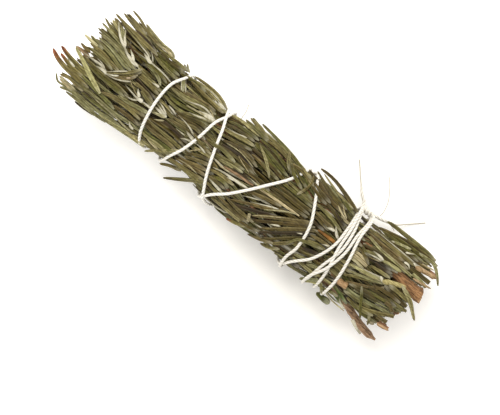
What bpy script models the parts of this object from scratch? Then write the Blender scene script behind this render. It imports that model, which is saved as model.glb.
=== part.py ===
"""A bundle of dried rosemary, bound with one cotton string and lying on its side.

Twelve sprigs lie side by side: three in the middle and nine round them. Each sprig is a square
woody stem and the leaves that clasp it in opposite pairs. The bundle is first laid out straight
along X, in millimetres, with each sprig in a round lane of its own. Then place() carries every
point to where it ends up: it draws the bundle in under the string, flattens its underside, lets
it drift sideways and spreads its leafy end. place() never folds, so pieces that are clear of
each other in the straight layout stay clear. The leafy tips point to -X, the cut stems to +X.
"""

import math

import bmesh
import bpy
import numpy as np

MM = 0.001  # metres in a millimetre

# The bundle, in millimetres.
BUNDLE_RADIUS = 15.2  # half its width where no string draws it in
TIP_END = -72.0
BUTT_END = 72.0
RISE = 0.84  # height over width, above the axis
SAG = 0.80  # height over width, below the axis
BELLY = 0.12  # how much more the lowest part of the underside is flattened
BOUND_LIFT = 3.2  # how far the string lifts the underside off the surface
BOUND_FROM, BOUND_TO = -41.0, 56.0  # the length that the string holds
BOUND_RAMP = 12.0
WAISTS = ((-34.0, 1.3, 9.0), (-17.0, 2.5, 8.0), (14.0, 1.1, 8.0), (39.0, 1.2, 7.0))  # x, depth, reach
SPLAY = 1.8  # how far the leafy end spreads past the radius, each way
SPLAY_FROM, SPLAY_RUN = -38.0, 16.0
DRIFT = -0.014  # sideways drift of the axis per millimetre of length
AXIS_X, AXIS_Y, AXIS_Z = -0.25, -4.7, 9.92  # the straight bundle's own origin, from the part's

# The sprigs, in millimetres.
INNER_RING, INNER_COUNT, INNER_LANE = 4.4, 3, 3.3
OUTER_RING, OUTER_COUNT, OUTER_LANE = 11.4, 9, 3.75
FIRST_OUTER_ANGLE = -70.0  # degrees: two outer sprigs lie lowest, side by side
GAP = 0.3  # clearance that neighbouring pieces keep
STEM_SIDES = 4
STEM_RADIUS, STEM_TIP_RADIUS = 1.35, 0.75  # centre to corner, at the cut and at the tip
THICK_STEM, THICK_STEM_RADIUS = 6, 2.1  # the sprig whose stem is much the thickest
CUT_BEVEL = 0.25
CLASP_WALL = 0.45  # thickness of the leaf bases round the stem
BARE_BUTT = 5.0  # stem that stands out of the leaves at the cut end
PAIR_PITCH = 9.0  # from one pair of leaves to the next
LEAF_ROOT = 2.0  # length of a leaf's root along the stem
LEAF_LENGTH = 22.0
LEAF_BELLY = 8.0  # from its root to its widest part
LEAF_WIDTH, LEAF_THICKNESS = 1.5, 0.95
LEAF_STEER = 22.5  # degrees that a leaf turns to one side of its root
BUD_LENGTH = 5.0
BUTT_STAGGER, TIP_STAGGER = 5.0, 8.0  # how unevenly the sprigs end
GOLDEN = 0.618  # steps that spread evenly however many there are

# The string, in millimetres. Each row is one turn, from the knot's side over the top and back
# under: where it lies along the bundle as it passes each of these angles.
STRING_DIAMETER = 1.1
STRING_SIDES_RESOLUTION = 1  # a curve bevel of six sides
STRING_GAP = 0.5  # from the leaves
STRAND_CLEARANCE = 0.3
TURN_ANGLES = (30, 60, 90, 120, 150, 210, 270, 330)
STRING_TURNS = (
    (36.6, 36.8, 36.6, 33.8, 28.7, 24.8, 20.5, 16.8),
    (14.9, 12.3, 6.9, 0.6, -5.2, -8.6, -11.2, -13.8),
    (-15.4, -17.5, -18.5, -20.3, -22.9, -25.6, -28.2, -31.0),
    (-33.6, -36.0, -36.3, -35.4, -33.8, -29.5, -22.5, -17.8),
    (-16.4, -14.3, -12.2, -9.6, -6.6, -0.8, 8.0, 16.5),
    (19.8, 23.0, 26.7, 27.8, 26.9, 28.8, 32.0, 35.4),
    (37.6, 39.0, 39.4, 37.7, 36.9, 36.3, 36.3, 36.4),
    (36.9, 37.8, 38.3, 39.8, 40.3, 40.2, 40.5, 41.0),
    (41.2, 40.6, 40.8, 39.1, 36.4, 37.0, 38.7, 40.8),
    (41.7, 41.6, 43.0, 44.0, 43.9, 43.0, 42.3),
)
STRING_START, STRING_END = (37.6, -18.0), (41.6, 316.0)  # x and angle at the knot
POINTS_A_TURN = 20

# The knot and the two loose ends, in millimetres: x and y from the bundle's axis, and z from the
# surface that the bundle lies on. The loose ends droop until they lie on that surface.
KNOT_AT = (39.2, 17.5, 5.5)
KNOT_SIZE = (0.80, 0.60, 0.84)  # of its loop, along each axis
KNOT_POINTS = 33
KNOT_DIAMETER = 0.9
TAIL_A = ((36.2, 17.4, 5.6), (34.8, 18.2, 5.4), (32.6, 20.3, 4.3), (30.2, 23.0, 2.3),
          (28.4, 25.2, 1.0), (26.6, 27.2, 0.65))
TAIL_B = ((42.2, 17.2, 5.5), (44.3, 17.0, 5.2), (46.6, 17.1, 4.3), (49.4, 17.9, 2.7),
          (51.7, 19.6, 1.4), (54.0, 21.8, 0.75), (56.7, 24.3, 0.65))
TAIL_POINTS = 14


# ---- Where the straight layout goes


def smooth_step(t):
    """0 below t = 0, 1 above t = 1, and three t squared less two t cubed between."""
    t = np.clip(t, 0.0, 1.0)
    return t * t * (3.0 - 2.0 * t)


def drawn_in(x):
    """How far the string draws the bundle in at x: a bell curve at each waist, added up."""
    return sum(depth * np.exp(-(((x - at) / reach) ** 2)) for at, depth, reach in WAISTS)


def half_width(x):
    return BUNDLE_RADIUS - drawn_in(x) + SPLAY * smooth_step((SPLAY_FROM - x) / SPLAY_RUN)


def half_under(x):
    """The underside's half height. It isn't spread at the tips, and it lifts where bound."""
    bound = smooth_step((x - BOUND_FROM) / BOUND_RAMP) * smooth_step((BOUND_TO - x) / BOUND_RAMP)
    return SAG * (BUNDLE_RADIUS - drawn_in(x)) - BOUND_LIFT * bound


def place(points):
    """Points of the straight layout, in millimetres, to the part's own frame, in metres."""
    x, y, z = np.asarray(points, float).T
    across, up = y / BUNDLE_RADIUS, z / BUNDLE_RADIUS
    below = up < 0.0
    flattened = up * (1.0 - BELLY * up * up)
    height = np.where(below, half_under(x) * flattened, RISE * half_width(x) * up)
    width = DRIFT * x + half_width(x) * across
    return MM * np.stack([AXIS_X + x, AXIS_Y + width, AXIS_Z + height], axis=1)


def above_surface(points):
    """Points given by the bundle's axis and the surface, in millimetres, to the part's frame."""
    return MM * (np.asarray(points, float) + (AXIS_X, AXIS_Y, 0.0))


# ---- Objects and materials


def material(name, hex_colour, roughness):
    """A Principled material of a plain colour, given as sRGB hex."""
    rgb = [int(hex_colour[i : i + 2], 16) / 255.0 for i in (1, 3, 5)]
    linear = [c / 12.92 if c <= 0.04045 else ((c + 0.055) / 1.055) ** 2.4 for c in rgb]
    made = bpy.data.materials.new(name)
    made.use_nodes = True
    shader = made.node_tree.nodes["Principled BSDF"]
    shader.inputs["Base Color"].default_value = (*linear, 1.0)
    shader.inputs["Roughness"].default_value = roughness
    shader.inputs["Metallic"].default_value = 0.0
    made.diffuse_color = (*linear, 1.0)
    return made


def add_object(name, data, finish):
    data.materials.append(finish)
    made = bpy.data.objects.new(name, data)
    bundle.objects.link(made)
    return made


def add_mesh(name, bm, finish):
    """Carries a mesh of the straight layout to its place, faces outwards."""
    placed = place([v.co for v in bm.verts])
    for vert, co in zip(bm.verts, placed):
        vert.co = co
    bmesh.ops.triangulate(bm, faces=bm.faces)
    bmesh.ops.recalc_face_normals(bm, faces=bm.faces)
    mesh = bpy.data.meshes.new(name)
    bm.to_mesh(mesh)
    bm.free()
    return add_object(name, mesh, finish)


def turned(outline):
    """A square-sectioned solid: an outline of x and radius, turned about X in four steps."""
    bm = bmesh.new()
    verts = [bm.verts.new((x, radius, 0.0)) for x, radius in outline]
    edges = [bm.edges.new(pair) for pair in zip(verts, verts[1:])]
    bmesh.ops.spin(
        bm, geom=verts + edges, cent=(0, 0, 0), axis=(1, 0, 0), angle=math.tau, steps=STEM_SIDES
    )
    bmesh.ops.remove_doubles(bm, verts=bm.verts, dist=1e-4)
    return bm


# ---- Sprigs


def lanes():
    """The sprigs' lanes, from the middle outwards: y, z and radius of each."""
    found = []
    for i in range(INNER_COUNT):
        angle = math.radians(90.0 + i * 360.0 / INNER_COUNT)
        found.append((INNER_RING * math.cos(angle), INNER_RING * math.sin(angle), INNER_LANE))
    for i in range(OUTER_COUNT):
        angle = math.radians(FIRST_OUTER_ANGLE + i * 360.0 / OUTER_COUNT)
        found.append((OUTER_RING * math.cos(angle), OUTER_RING * math.sin(angle), OUTER_LANE))
    return found


class Sprig:
    """One sprig's sizes: where it starts and ends, its pairs of leaves and its stem."""

    def __init__(self, index, lane):
        self.y, self.z, self.lane = lane
        self.butt = BUTT_END - BUTT_STAGGER * ((index * GOLDEN) % 1.0)
        self.tip = TIP_END + TIP_STAGGER * ((index * GOLDEN + 0.5) % 1.0)
        self.butt_radius = THICK_STEM_RADIUS if index == THICK_STEM else STEM_RADIUS
        first, last = self.butt - BARE_BUTT - LEAF_ROOT, self.tip + LEAF_LENGTH
        self.pairs = np.linspace(first, last, round((first - last) / PAIR_PITCH) + 1)
        rings = np.stack([self.pairs + LEAF_ROOT / 2, self.pairs - LEAF_ROOT / 2], axis=1)
        self.stations = np.concatenate([[self.butt - BARE_BUTT], rings.ravel()])

    def stem_radius(self, x):
        along = (self.butt - x) / (self.butt - self.tip)
        return self.butt_radius + (STEM_TIP_RADIUS - self.butt_radius) * along

    def clasp_radius(self, x):
        """Centre to corner of the leaf bases' outer face, round the stem at x."""
        return self.stem_radius(x) + (GAP + CLASP_WALL) * math.sqrt(2.0)

    def stem(self):
        """A tapering square stem with a small bevel at its cut, down to the last pair."""
        butt, rim = self.butt, self.stem_radius(self.butt)
        outline = [(butt, 0.0), (butt, rim - CUT_BEVEL), (butt - CUT_BEVEL, rim)]
        outline += [(x, self.stem_radius(x)) for x in self.stations[:-1]]
        outline.append((self.stations[-2], 0.0))
        return self.in_lane(turned(outline))

    def leaves(self):
        """Clasping leaf bases round a blind bore for the stem, closed by a bud, with leaves."""
        inner = [(x, self.stem_radius(x) + GAP * math.sqrt(2.0)) for x in self.stations]
        outer = [(x, self.clasp_radius(x)) for x in self.stations]
        bud = (self.stations[-1] - BUD_LENGTH, 0.0)
        outline = [bud, *reversed(outer), *inner, (self.stations[-1], 0.0)]
        bm = turned(outline)
        for number, at in enumerate(self.pairs):
            faces = [f for f in bm.faces if self.is_root(f, at, number)]
            for face in faces:
                self.grow(bm, face, at, steer=LEAF_STEER if number % 4 < 2 else -LEAF_STEER)
        return self.in_lane(bm)

    def is_root(self, face, at, number):
        """Outer faces of the pair's band, on two opposite sides that alternate pair by pair."""
        centre = face.calc_center_median()
        flat = self.clasp_radius(at) * math.sqrt(0.5)
        if abs(centre.x - at) > 0.1 or math.hypot(centre.y, centre.z) < flat - 0.2:
            return False
        side = round(math.degrees(math.atan2(centre.z, centre.y)) / 90.0 - 0.5)
        return (side + number) % 2 == 0

    def grow(self, bm, face, at, steer):
        """Draws a leaf out of its root face: once to its widest part, then to a point."""
        centre = face.calc_center_median()
        angle = math.atan2(centre.z, centre.y)
        flat = math.hypot(centre.y, centre.z)
        side = np.array([0.0, -math.sin(angle), math.cos(angle)])
        corners = [(v.co.x > at, np.dot(v.co, side) > 0.0) for v in face.verts]
        bent = angle + math.radians(steer)
        out = np.array([0.0, math.cos(bent), math.sin(bent)])
        across = np.array([0.0, -math.sin(bent), math.cos(bent)])
        reach = self.lane - GAP / 2
        thickness = min(LEAF_THICKNESS, reach - flat - GAP)
        under = min(flat + GAP + 0.3, reach - thickness)
        widest = bmesh.ops.extrude_discrete_faces(bm, faces=[face])["faces"][0]
        for vert, (above, beyond) in zip(widest.verts, corners):
            height = under + (thickness if above else 0.0)
            aside = LEAF_WIDTH / 2 if beyond else -LEAF_WIDTH / 2
            vert.co = out * height + across * aside
            vert.co.x = at - LEAF_BELLY
        point = bmesh.ops.poke(bm, faces=[widest])["verts"][0]
        point.co = out * (reach - thickness / 3)
        point.co.x = at - LEAF_LENGTH

    def in_lane(self, bm):
        bmesh.ops.translate(bm, verts=bm.verts, vec=(0.0, self.y, self.z))
        return bm


# ---- String


def smooth_route(points, count):
    """A Catmull-Rom curve through the points, read at evenly spaced parameters."""
    given = np.asarray(points, float)
    ends = (2 * given[0] - given[1], 2 * given[-1] - given[-2])
    held = np.vstack([ends[0], given, ends[1]])
    t = np.linspace(0.0, len(given) - 1.0, count)
    i = np.minimum(t.astype(int), len(given) - 2)
    f = (t - i)[:, None]
    a, b, c, d = (held[i + k] for k in range(4))
    return 0.5 * (
        2 * b + (c - a) * f + (2 * a - 5 * b + 4 * c - d) * f**2 + (3 * b - a - 3 * c + d) * f**3
    )


def wrap_route():
    """The wraps as x and angle, evenly spaced in angle from the knot round to the knot."""
    knots = [STRING_START]
    for turn, row in enumerate(STRING_TURNS):
        knots += [(x, 360.0 * turn + angle) for x, angle in zip(row, TURN_ANGLES)]
    last_turn = 360.0 * (len(STRING_TURNS) - 1)
    knots.append((STRING_END[0], last_turn + STRING_END[1]))
    fine = smooth_route(knots, 40 * len(knots))
    count = POINTS_A_TURN * len(STRING_TURNS)
    angles = np.linspace(STRING_START[1], last_turn + STRING_END[1], count)
    return np.interp(angles, fine[:, 1], fine[:, 0]), angles


def strand_lift(x, angles):
    """How far each point is raised over the earlier strands that it crosses or lies against."""
    apart = STRING_DIAMETER + STRAND_CLEARANCE
    lift = np.zeros(len(x))
    slope = np.gradient(x, np.radians(angles) * BUNDLE_RADIUS)
    for i in range(len(x)):
        for back in range(1, len(STRING_TURNS)):
            earlier = angles[i] - 360.0 * back
            if earlier < angles[0]:
                break
            other = np.interp(earlier, angles, x)
            away = abs(x[i] - other) / math.hypot(1.0, slope[i])
            if away < apart:
                under = np.interp(earlier, angles, lift)
                lift[i] = max(lift[i], under + math.sqrt(apart**2 - away**2))
    widest = np.array([lift[max(0, i - 1) : i + 2].max() for i in range(len(x))])
    eased = np.convolve(np.pad(widest, 1, mode="edge"), (0.25, 0.5, 0.25), mode="valid")
    return np.maximum(lift, eased)


def cord(name, centres, diameter, closed=False):
    """A string of the given diameter through centres, in metres."""
    data = bpy.data.curves.new(name, "CURVE")
    data.dimensions = "3D"
    data.bevel_depth = diameter * MM / 2
    data.bevel_resolution = STRING_SIDES_RESOLUTION
    data.use_fill_caps = not closed
    spline = data.splines.new("POLY")
    spline.points.add(len(centres) - 1)
    for point, co in zip(spline.points, centres):
        point.co = (*co, 1.0)
    spline.use_cyclic_u = closed
    return add_object(name, data, string_finish)


def wraps():
    """The wraps' centre line: out from the bundle's surface, square to it, by half a string."""
    x, angles = wrap_route()
    turn = np.radians(angles)
    across, up = np.cos(turn), np.sin(turn)
    surface = place(np.stack([x, BUNDLE_RADIUS * across, BUNDLE_RADIUS * up], axis=1))
    height = np.where(up < 0.0, half_under(x), RISE * half_width(x))
    outwards = np.stack([np.zeros(len(x)), across * height, up * half_width(x)], axis=1)
    outwards /= np.linalg.norm(outwards, axis=1)[:, None]
    distance = STRING_GAP + STRING_DIAMETER / 2 + strand_lift(x, angles)
    return surface + MM * distance[:, None] * outwards


def knot():
    """A trefoil, the shape an overhand knot takes when its ends are drawn together."""
    t = np.linspace(0.0, math.tau, KNOT_POINTS, endpoint=False)
    loop = np.stack([np.sin(t) + 2 * np.sin(2 * t), -1.3 * np.sin(3 * t),
                     np.cos(t) - 2 * np.cos(2 * t)], axis=1)
    return above_surface(KNOT_AT) + MM * loop * np.array(KNOT_SIZE)


for old in list(bpy.data.objects):
    bpy.data.objects.remove(old, do_unlink=True)
bundle = bpy.data.collections.new("rosemary_bundle")
bpy.context.scene.collection.children.link(bundle)
leaf_finish = material("dried rosemary leaf", "#6B6F4A", 0.65)
stem_finish = material("woody rosemary stem", "#9A6A4A", 0.75)
string_finish = material("white cotton string", "#F4F1E4", 0.85)

for index, lane in enumerate(lanes()):
    sprig = Sprig(index, lane)
    add_mesh(f"sprig_{index + 1:02d}_stem", sprig.stem(), stem_finish)
    add_mesh(f"sprig_{index + 1:02d}_leaves", sprig.leaves(), leaf_finish)

cord("string_wraps", wraps(), STRING_DIAMETER)
cord("string_knot", knot(), KNOT_DIAMETER, closed=True)
cord("string_tail_a", above_surface(smooth_route(TAIL_A, TAIL_POINTS)), STRING_DIAMETER)
cord("string_tail_b", above_surface(smooth_route(TAIL_B, TAIL_POINTS)), STRING_DIAMETER)
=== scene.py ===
"""A bundle of dried rosemary, bound along its length with one white cotton string.

The script follows the bundle as it is made: the woody stems laid side by side, the string that
draws them together, the leaves that the string presses flat, and last the surface, the light and
the camera. Lengths are in millimetres from the bundle's axis (x along it, with the leafy tips at
-x, and y across it) and from the surface it lies on (z). They become the frame's metres when a
mesh is made.
"""

import math

import bpy
import numpy as np
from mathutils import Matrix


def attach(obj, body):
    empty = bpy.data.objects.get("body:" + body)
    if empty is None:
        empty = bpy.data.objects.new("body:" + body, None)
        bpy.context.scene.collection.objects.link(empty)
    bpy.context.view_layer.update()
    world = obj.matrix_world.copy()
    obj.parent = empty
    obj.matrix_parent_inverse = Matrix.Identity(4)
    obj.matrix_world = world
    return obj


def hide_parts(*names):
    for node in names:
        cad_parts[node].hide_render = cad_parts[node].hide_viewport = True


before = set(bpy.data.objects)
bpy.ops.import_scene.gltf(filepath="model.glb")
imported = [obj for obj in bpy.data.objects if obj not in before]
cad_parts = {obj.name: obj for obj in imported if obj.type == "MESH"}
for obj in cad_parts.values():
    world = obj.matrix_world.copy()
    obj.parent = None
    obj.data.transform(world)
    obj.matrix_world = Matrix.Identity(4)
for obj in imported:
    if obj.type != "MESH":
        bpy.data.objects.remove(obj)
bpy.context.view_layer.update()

# ---- Woody stems ---------------------------------------------------------------------------
# Twelve rosemary stems laid side by side, browned and split lengthwise as they dry, with a
# swelling at each pair of leaves and a cut end. Loose sprigs, drawn in by the string and sagging
# under their own weight, so a round straight layout is settled into the bundle's own shape.

MM = 0.001
SPRIGS = 12
BUNDLE_RADIUS = 15.2
RISE, SAG, BELLY = 0.84, 0.80, 0.12  # its height above and below the axis, and how full it is
BOUND_LIFT, BOUND_FROM, BOUND_TO, BOUND_RAMP = 3.2, -41.0, 56.0, 12.0  # bound, it sags less
WAISTS = ((-34.0, 1.3, 9.0), (-17.0, 2.5, 8.0), (14.0, 1.1, 8.0), (39.0, 1.2, 7.0))  # x, depth, reach
SPLAY, SPLAY_FROM, SPLAY_RUN = 1.8, -38.0, 16.0  # the leafy tips spread
DRIFT = -0.014  # how far it strays across for each millimetre along
AXIS_X, AXIS_Y, AXIS_Z = -0.25, -4.7, 9.92  # the axis in the frame


def smooth_step(t):
    """0 below t = 0, 1 above t = 1, and three t squared less two t cubed between."""
    t = np.clip(t, 0.0, 1.0)
    return t * t * (3.0 - 2.0 * t)


def drawn_in(x):
    """A bell curve at each waist, added up."""
    return sum(depth * np.exp(-(((x - at) / reach) ** 2)) for at, depth, reach in WAISTS)


def half_width(x):
    """The radius, less the waists, and splayed at the leafy tips."""
    return BUNDLE_RADIUS - drawn_in(x) + SPLAY * smooth_step((SPLAY_FROM - x) / SPLAY_RUN)


def half_under(x):
    """How far the bundle reaches below its axis: it sags, and the bound part is lifted."""
    bound = smooth_step((x - BOUND_FROM) / BOUND_RAMP) * smooth_step((BOUND_TO - x) / BOUND_RAMP)
    return SAG * (BUNDLE_RADIUS - drawn_in(x)) - BOUND_LIFT * bound


def settle(x, y, z):
    """Straight layout to its place: y stretched to the half width, z to the half height."""
    up = z / BUNDLE_RADIUS
    height = np.where(up < 0, half_under(x) * up * (1 - BELLY * up * up), RISE * half_width(x) * up)
    width = DRIFT * x + half_width(x) * y / BUNDLE_RADIUS
    return np.stack([x + 0.0 * width, width, AXIS_Z + height], axis=-1)


def section_of(points):
    """The bundle's section at each point: its half width, its half height on that side of the
    axis, and y and z from the axis."""
    y = points[..., 1] - DRIFT * points[..., 0]
    z = points[..., 2] - AXIS_Z
    wide = half_width(points[..., 0])
    return wide, np.where(z < 0, half_under(points[..., 0]), RISE * wide), y, z


def unit(vectors):
    """The same directions, each of length one."""
    return vectors / np.linalg.norm(vectors, axis=-1, keepdims=True)


def outwards(points):
    """Unit vectors square to the bundle's surface: y and z over the half sizes squared."""
    wide, tall, y, z = section_of(points)
    return unit(np.stack([np.zeros_like(y), y / wide**2, z / tall**2 + 1e-9], axis=-1))


# Each stem's lane: how far from the axis, and at what angle. Three are inside and nine round them.
LANES = [(4.4, 90.0 + 120.0 * i) for i in range(3)] + [(11.4, -70.0 + 40.0 * i) for i in range(9)]
# Each stem's cut end: its x, the radius there, how far it has left its lane by then, across and
# up, and its bark.
STEM_ENDS = (
    (66.8, 1.2, 0.0, 0.0, "#77583A"), (67.4, 1.0, 0.0, 0.0, "#77583A"),
    (66.2, 1.1, 0.0, 0.0, "#7C5D40"), (67.0, 1.2, 0.5, 0.0, "#876444"),
    (69.3, 0.5, -1.3, 2.0, "#A57E5E"), (68.9, 1.0, 1.2, 1.5, "#AE8264"),
    (68.8, 2.25, -2.7, 0.6, "#A67C52"), (67.8, 0.5, -2.2, -2.0, "#9A8A6A"),
    (67.1, 0.6, -2.7, -1.5, "#B08260"), (66.6, 1.3, -4.4, -2.5, "#B08F70"),
    (66.8, 0.9, 0.0, 0.5, "#7A5C3E"), (67.3, 1.0, 0.0, 0.5, "#77583A"),
)
GOLDEN = 0.618  # the turn from one to the next that keeps the sprigs' ends uneven
LEAFY_ENDS = [-72.0 + 8.0 * ((i * GOLDEN + 0.5) % 1.0) for i in range(SPRIGS)]
BARE_TIP = 14.0  # a stem ends this far before its leaves do
STEM_TIP_RADIUS = 0.45
SPLAY_BUTT_FROM, SPLAY_BUTT_TO = 47.0, 66.0
WANDER = 0.7  # how far a stem wanders from its lane, in two waves each way
WAVES_Y, WAVES_Z = (11.0, 23.0), (13.0, 19.0)
THICKEST = 6
TWIG = 9  # a stem that ends in a splinter in place of a cut
SPLINTER_FROM, SPLINTER_RUN, SPLINTER_THINS = 63.0, 3.6, 0.7
rng = np.random.default_rng(11)
wander = rng.uniform(0, 2 * np.pi, (SPRIGS, 4))


def stem_line(i, x):
    """The middle of stem i at x: its lane, two slow waves each way, and its bend near the butt."""
    ring, angle = LANES[i]
    a, b, c, d = wander[i]
    y = ring * math.cos(math.radians(angle))
    y = y + WANDER * np.sin(x / WAVES_Y[0] + a) * np.sin(x / WAVES_Y[1] + b)
    z = ring * math.sin(math.radians(angle))
    z = z + WANDER * np.sin(x / WAVES_Z[0] + c) * np.sin(x / WAVES_Z[1] + d)
    placed = settle(x, y, z)
    bend = smooth_step((x - SPLAY_BUTT_FROM) / (SPLAY_BUTT_TO - SPLAY_BUTT_FROM))
    placed[..., 1] += STEM_ENDS[i][2] * bend
    placed[..., 2] += STEM_ENDS[i][3] * bend
    return placed


def stem_radius(i, x):
    """Full at the butt, and thinner to the leafy tip by the share of the way to the power 0.7."""
    end, thick = STEM_ENDS[i][:2]
    thinning = np.clip((end - x) / (end - LEAFY_ENDS[i]), 0, 1)
    radius = thick + (STEM_TIP_RADIUS - thick) * thinning**0.7
    if i == TWIG:
        radius = radius * (1 - SPLINTER_THINS * smooth_step((x - SPLINTER_FROM) / SPLINTER_RUN))
    return radius


def linear(hex_colour):
    """sRGB hex to the linear colour that a shader works in."""
    rgb = [int(hex_colour[k : k + 2], 16) / 255 for k in (1, 3, 5)]
    return [c / 12.92 if c <= 0.04045 else ((c + 0.055) / 1.055) ** 2.4 for c in rgb] + [1.0]


def add_node(tree, kind, settings=None, inputs=None, stops=()):
    """A node of this kind. settings go on the node, inputs are values or sockets to link, and
    stops are a colour ramp's: a place from 0 to 1, and a hex colour."""
    node = tree.nodes.new(kind)
    for key, value in (settings or {}).items():
        setattr(node, key, value)
    for key, value in (inputs or {}).items():
        if isinstance(value, bpy.types.NodeSocket):
            tree.links.new(value, node.inputs[key])
        else:
            node.inputs[key].default_value = value
    for _ in stops[2:]:
        node.color_ramp.elements.new(0.5)
    for k, (place, colour) in enumerate(stops):
        node.color_ramp.elements[k].position = place
        node.color_ramp.elements[k].color = linear(colour)
    return node


def new_material(name):
    """An empty material, and its tree of nodes."""
    made = bpy.data.materials.new(name)
    made.use_nodes = True
    made.node_tree.nodes.clear()
    return made, made.node_tree


def close_material(tree, colour, height, depth, roughness, **values):
    """The bump, the Principled shader and the output. depth is how deep the bump is."""
    inputs = {"Height": height, "Strength": 0.5, "Distance": MM * depth}
    bump = add_node(tree, "ShaderNodeBump", None, inputs)
    inputs = {"Base Color": colour, "Roughness": roughness, "Normal": bump.outputs["Normal"]} | values
    shader = add_node(tree, "ShaderNodeBsdfPrincipled", None, inputs)
    add_node(tree, "ShaderNodeOutputMaterial", None, {"Surface": shader.outputs["BSDF"]})


def streaks(tree, per_mm, detail, stretch):
    """Noise with this many streaks to a millimetre, each drawn out along the bundle by stretch."""
    place = add_node(tree, "ShaderNodeTexCoord").outputs["Object"]
    drawn = add_node(tree, "ShaderNodeMapping", None, {"Vector": place, "Scale": (1 / stretch, 1, 1)})
    inputs = {"Vector": drawn.outputs["Vector"], "Scale": per_mm / MM, "Detail": detail}
    return add_node(tree, "ShaderNodeTexNoise", None, inputs).outputs["Fac"]


def grid_faces(rings, around):
    """Quads between neighbouring rings of a tube, each ring closed on itself."""
    ring, point = np.meshgrid(np.arange(rings - 1), np.arange(around), indexing="ij")
    after = (point + 1) % around
    corners = (ring * around + point, ring * around + after,
               (ring + 1) * around + after, (ring + 1) * around + point)
    return np.stack(corners, axis=-1).reshape(-1, 4)


def tube_faces(rings, around, first=0):
    """A tube's quads, and one face over each end. first is the number of the tube's first point."""
    last = first + (rings - 1) * around
    ends = [list(range(first, first + around))[::-1], list(range(last, last + around))]
    return (grid_faces(rings, around) + first).tolist() + ends


def to_frame(points):
    """Millimetres from the bundle's axis to metres in the frame."""
    return MM * (np.asarray(points, float) + (AXIS_X, AXIS_Y, 0.0))


def add_mesh(name, points, faces, finish, values=None, smooth=True):
    """A mesh object at the frame's origin. values are attributes: one number a point, or one
    linear colour a point."""
    mesh = bpy.data.meshes.new(name)
    mesh.from_pydata(to_frame(points).tolist(), [], faces)
    for key, numbers in (values or {}).items():
        numbers = np.asarray(numbers, np.float32)
        if numbers.ndim == 2:
            layer = mesh.attributes.new(key, "FLOAT_COLOR", "POINT")
            layer.data.foreach_set("color", np.hstack([numbers, np.ones((len(numbers), 1))]).ravel())
        else:
            layer = mesh.attributes.new(key, "FLOAT", "POINT")
            layer.data.foreach_set("value", numbers)
    mesh.materials.append(finish)
    if smooth:
        mesh.shade_smooth()
    made = bpy.data.objects.new(name, mesh)
    bpy.context.scene.collection.objects.link(made)
    return made


BARK_STRIPS = 2.6  # to a millimetre, as dry rosemary bark peels
OVER = {"data_type": "RGBA", "blend_type": "MIX"}
SHADED = {"data_type": "RGBA", "blend_type": "MULTIPLY"}


def bark():
    """Dry rosemary bark: thin and matt, split into fine lengthwise strips, light and dark, each
    stem with a tint of its own. The cut wood under it is paler."""
    made, tree = new_material("dry_rosemary_bark")
    tint = add_node(tree, "ShaderNodeAttribute", {"attribute_name": "tint"}).outputs["Color"]
    cut = add_node(tree, "ShaderNodeAttribute", {"attribute_name": "cut"}).outputs["Fac"]
    strips = streaks(tree, BARK_STRIPS, 4.0, 9.0)
    shades = ((0.36, "#7A736B"), (0.5, "#D4D0C9"), (0.62, "#FFFFFF"))
    shade = add_node(tree, "ShaderNodeValToRGB", None, {"Fac": strips}, shades).outputs["Color"]
    skin = add_node(tree, "ShaderNodeMix", SHADED, {0: 1.0, 6: tint, 7: shade}).outputs[2]
    woods = ((0.35, "#8F6C45"), (0.65, "#BE9A6B"))
    wood = add_node(tree, "ShaderNodeValToRGB", None, {"Fac": strips}, woods).outputs["Color"]
    colour = add_node(tree, "ShaderNodeMix", OVER, {0: cut, 6: skin, 7: wood}).outputs[2]
    close_material(tree, colour, strips, depth=0.3, roughness=0.85)
    return made


STEM_AROUND, STEM_STEP = 12, 1.2
NODE_PITCH = 3.3  # from one pair of leaves to the next
SQUARENESS, RIDGES, SWELLING = 0.06, 0.07, 0.16  # shares of the radius
SQUARE_TURNS_IN = 30.0  # for a radian of twist
SWELLING_RUN = 0.16  # a share of the pitch
CUT_SLANT, CUT_TEAR = 0.25, 0.22
bark_finish = bark()


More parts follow.
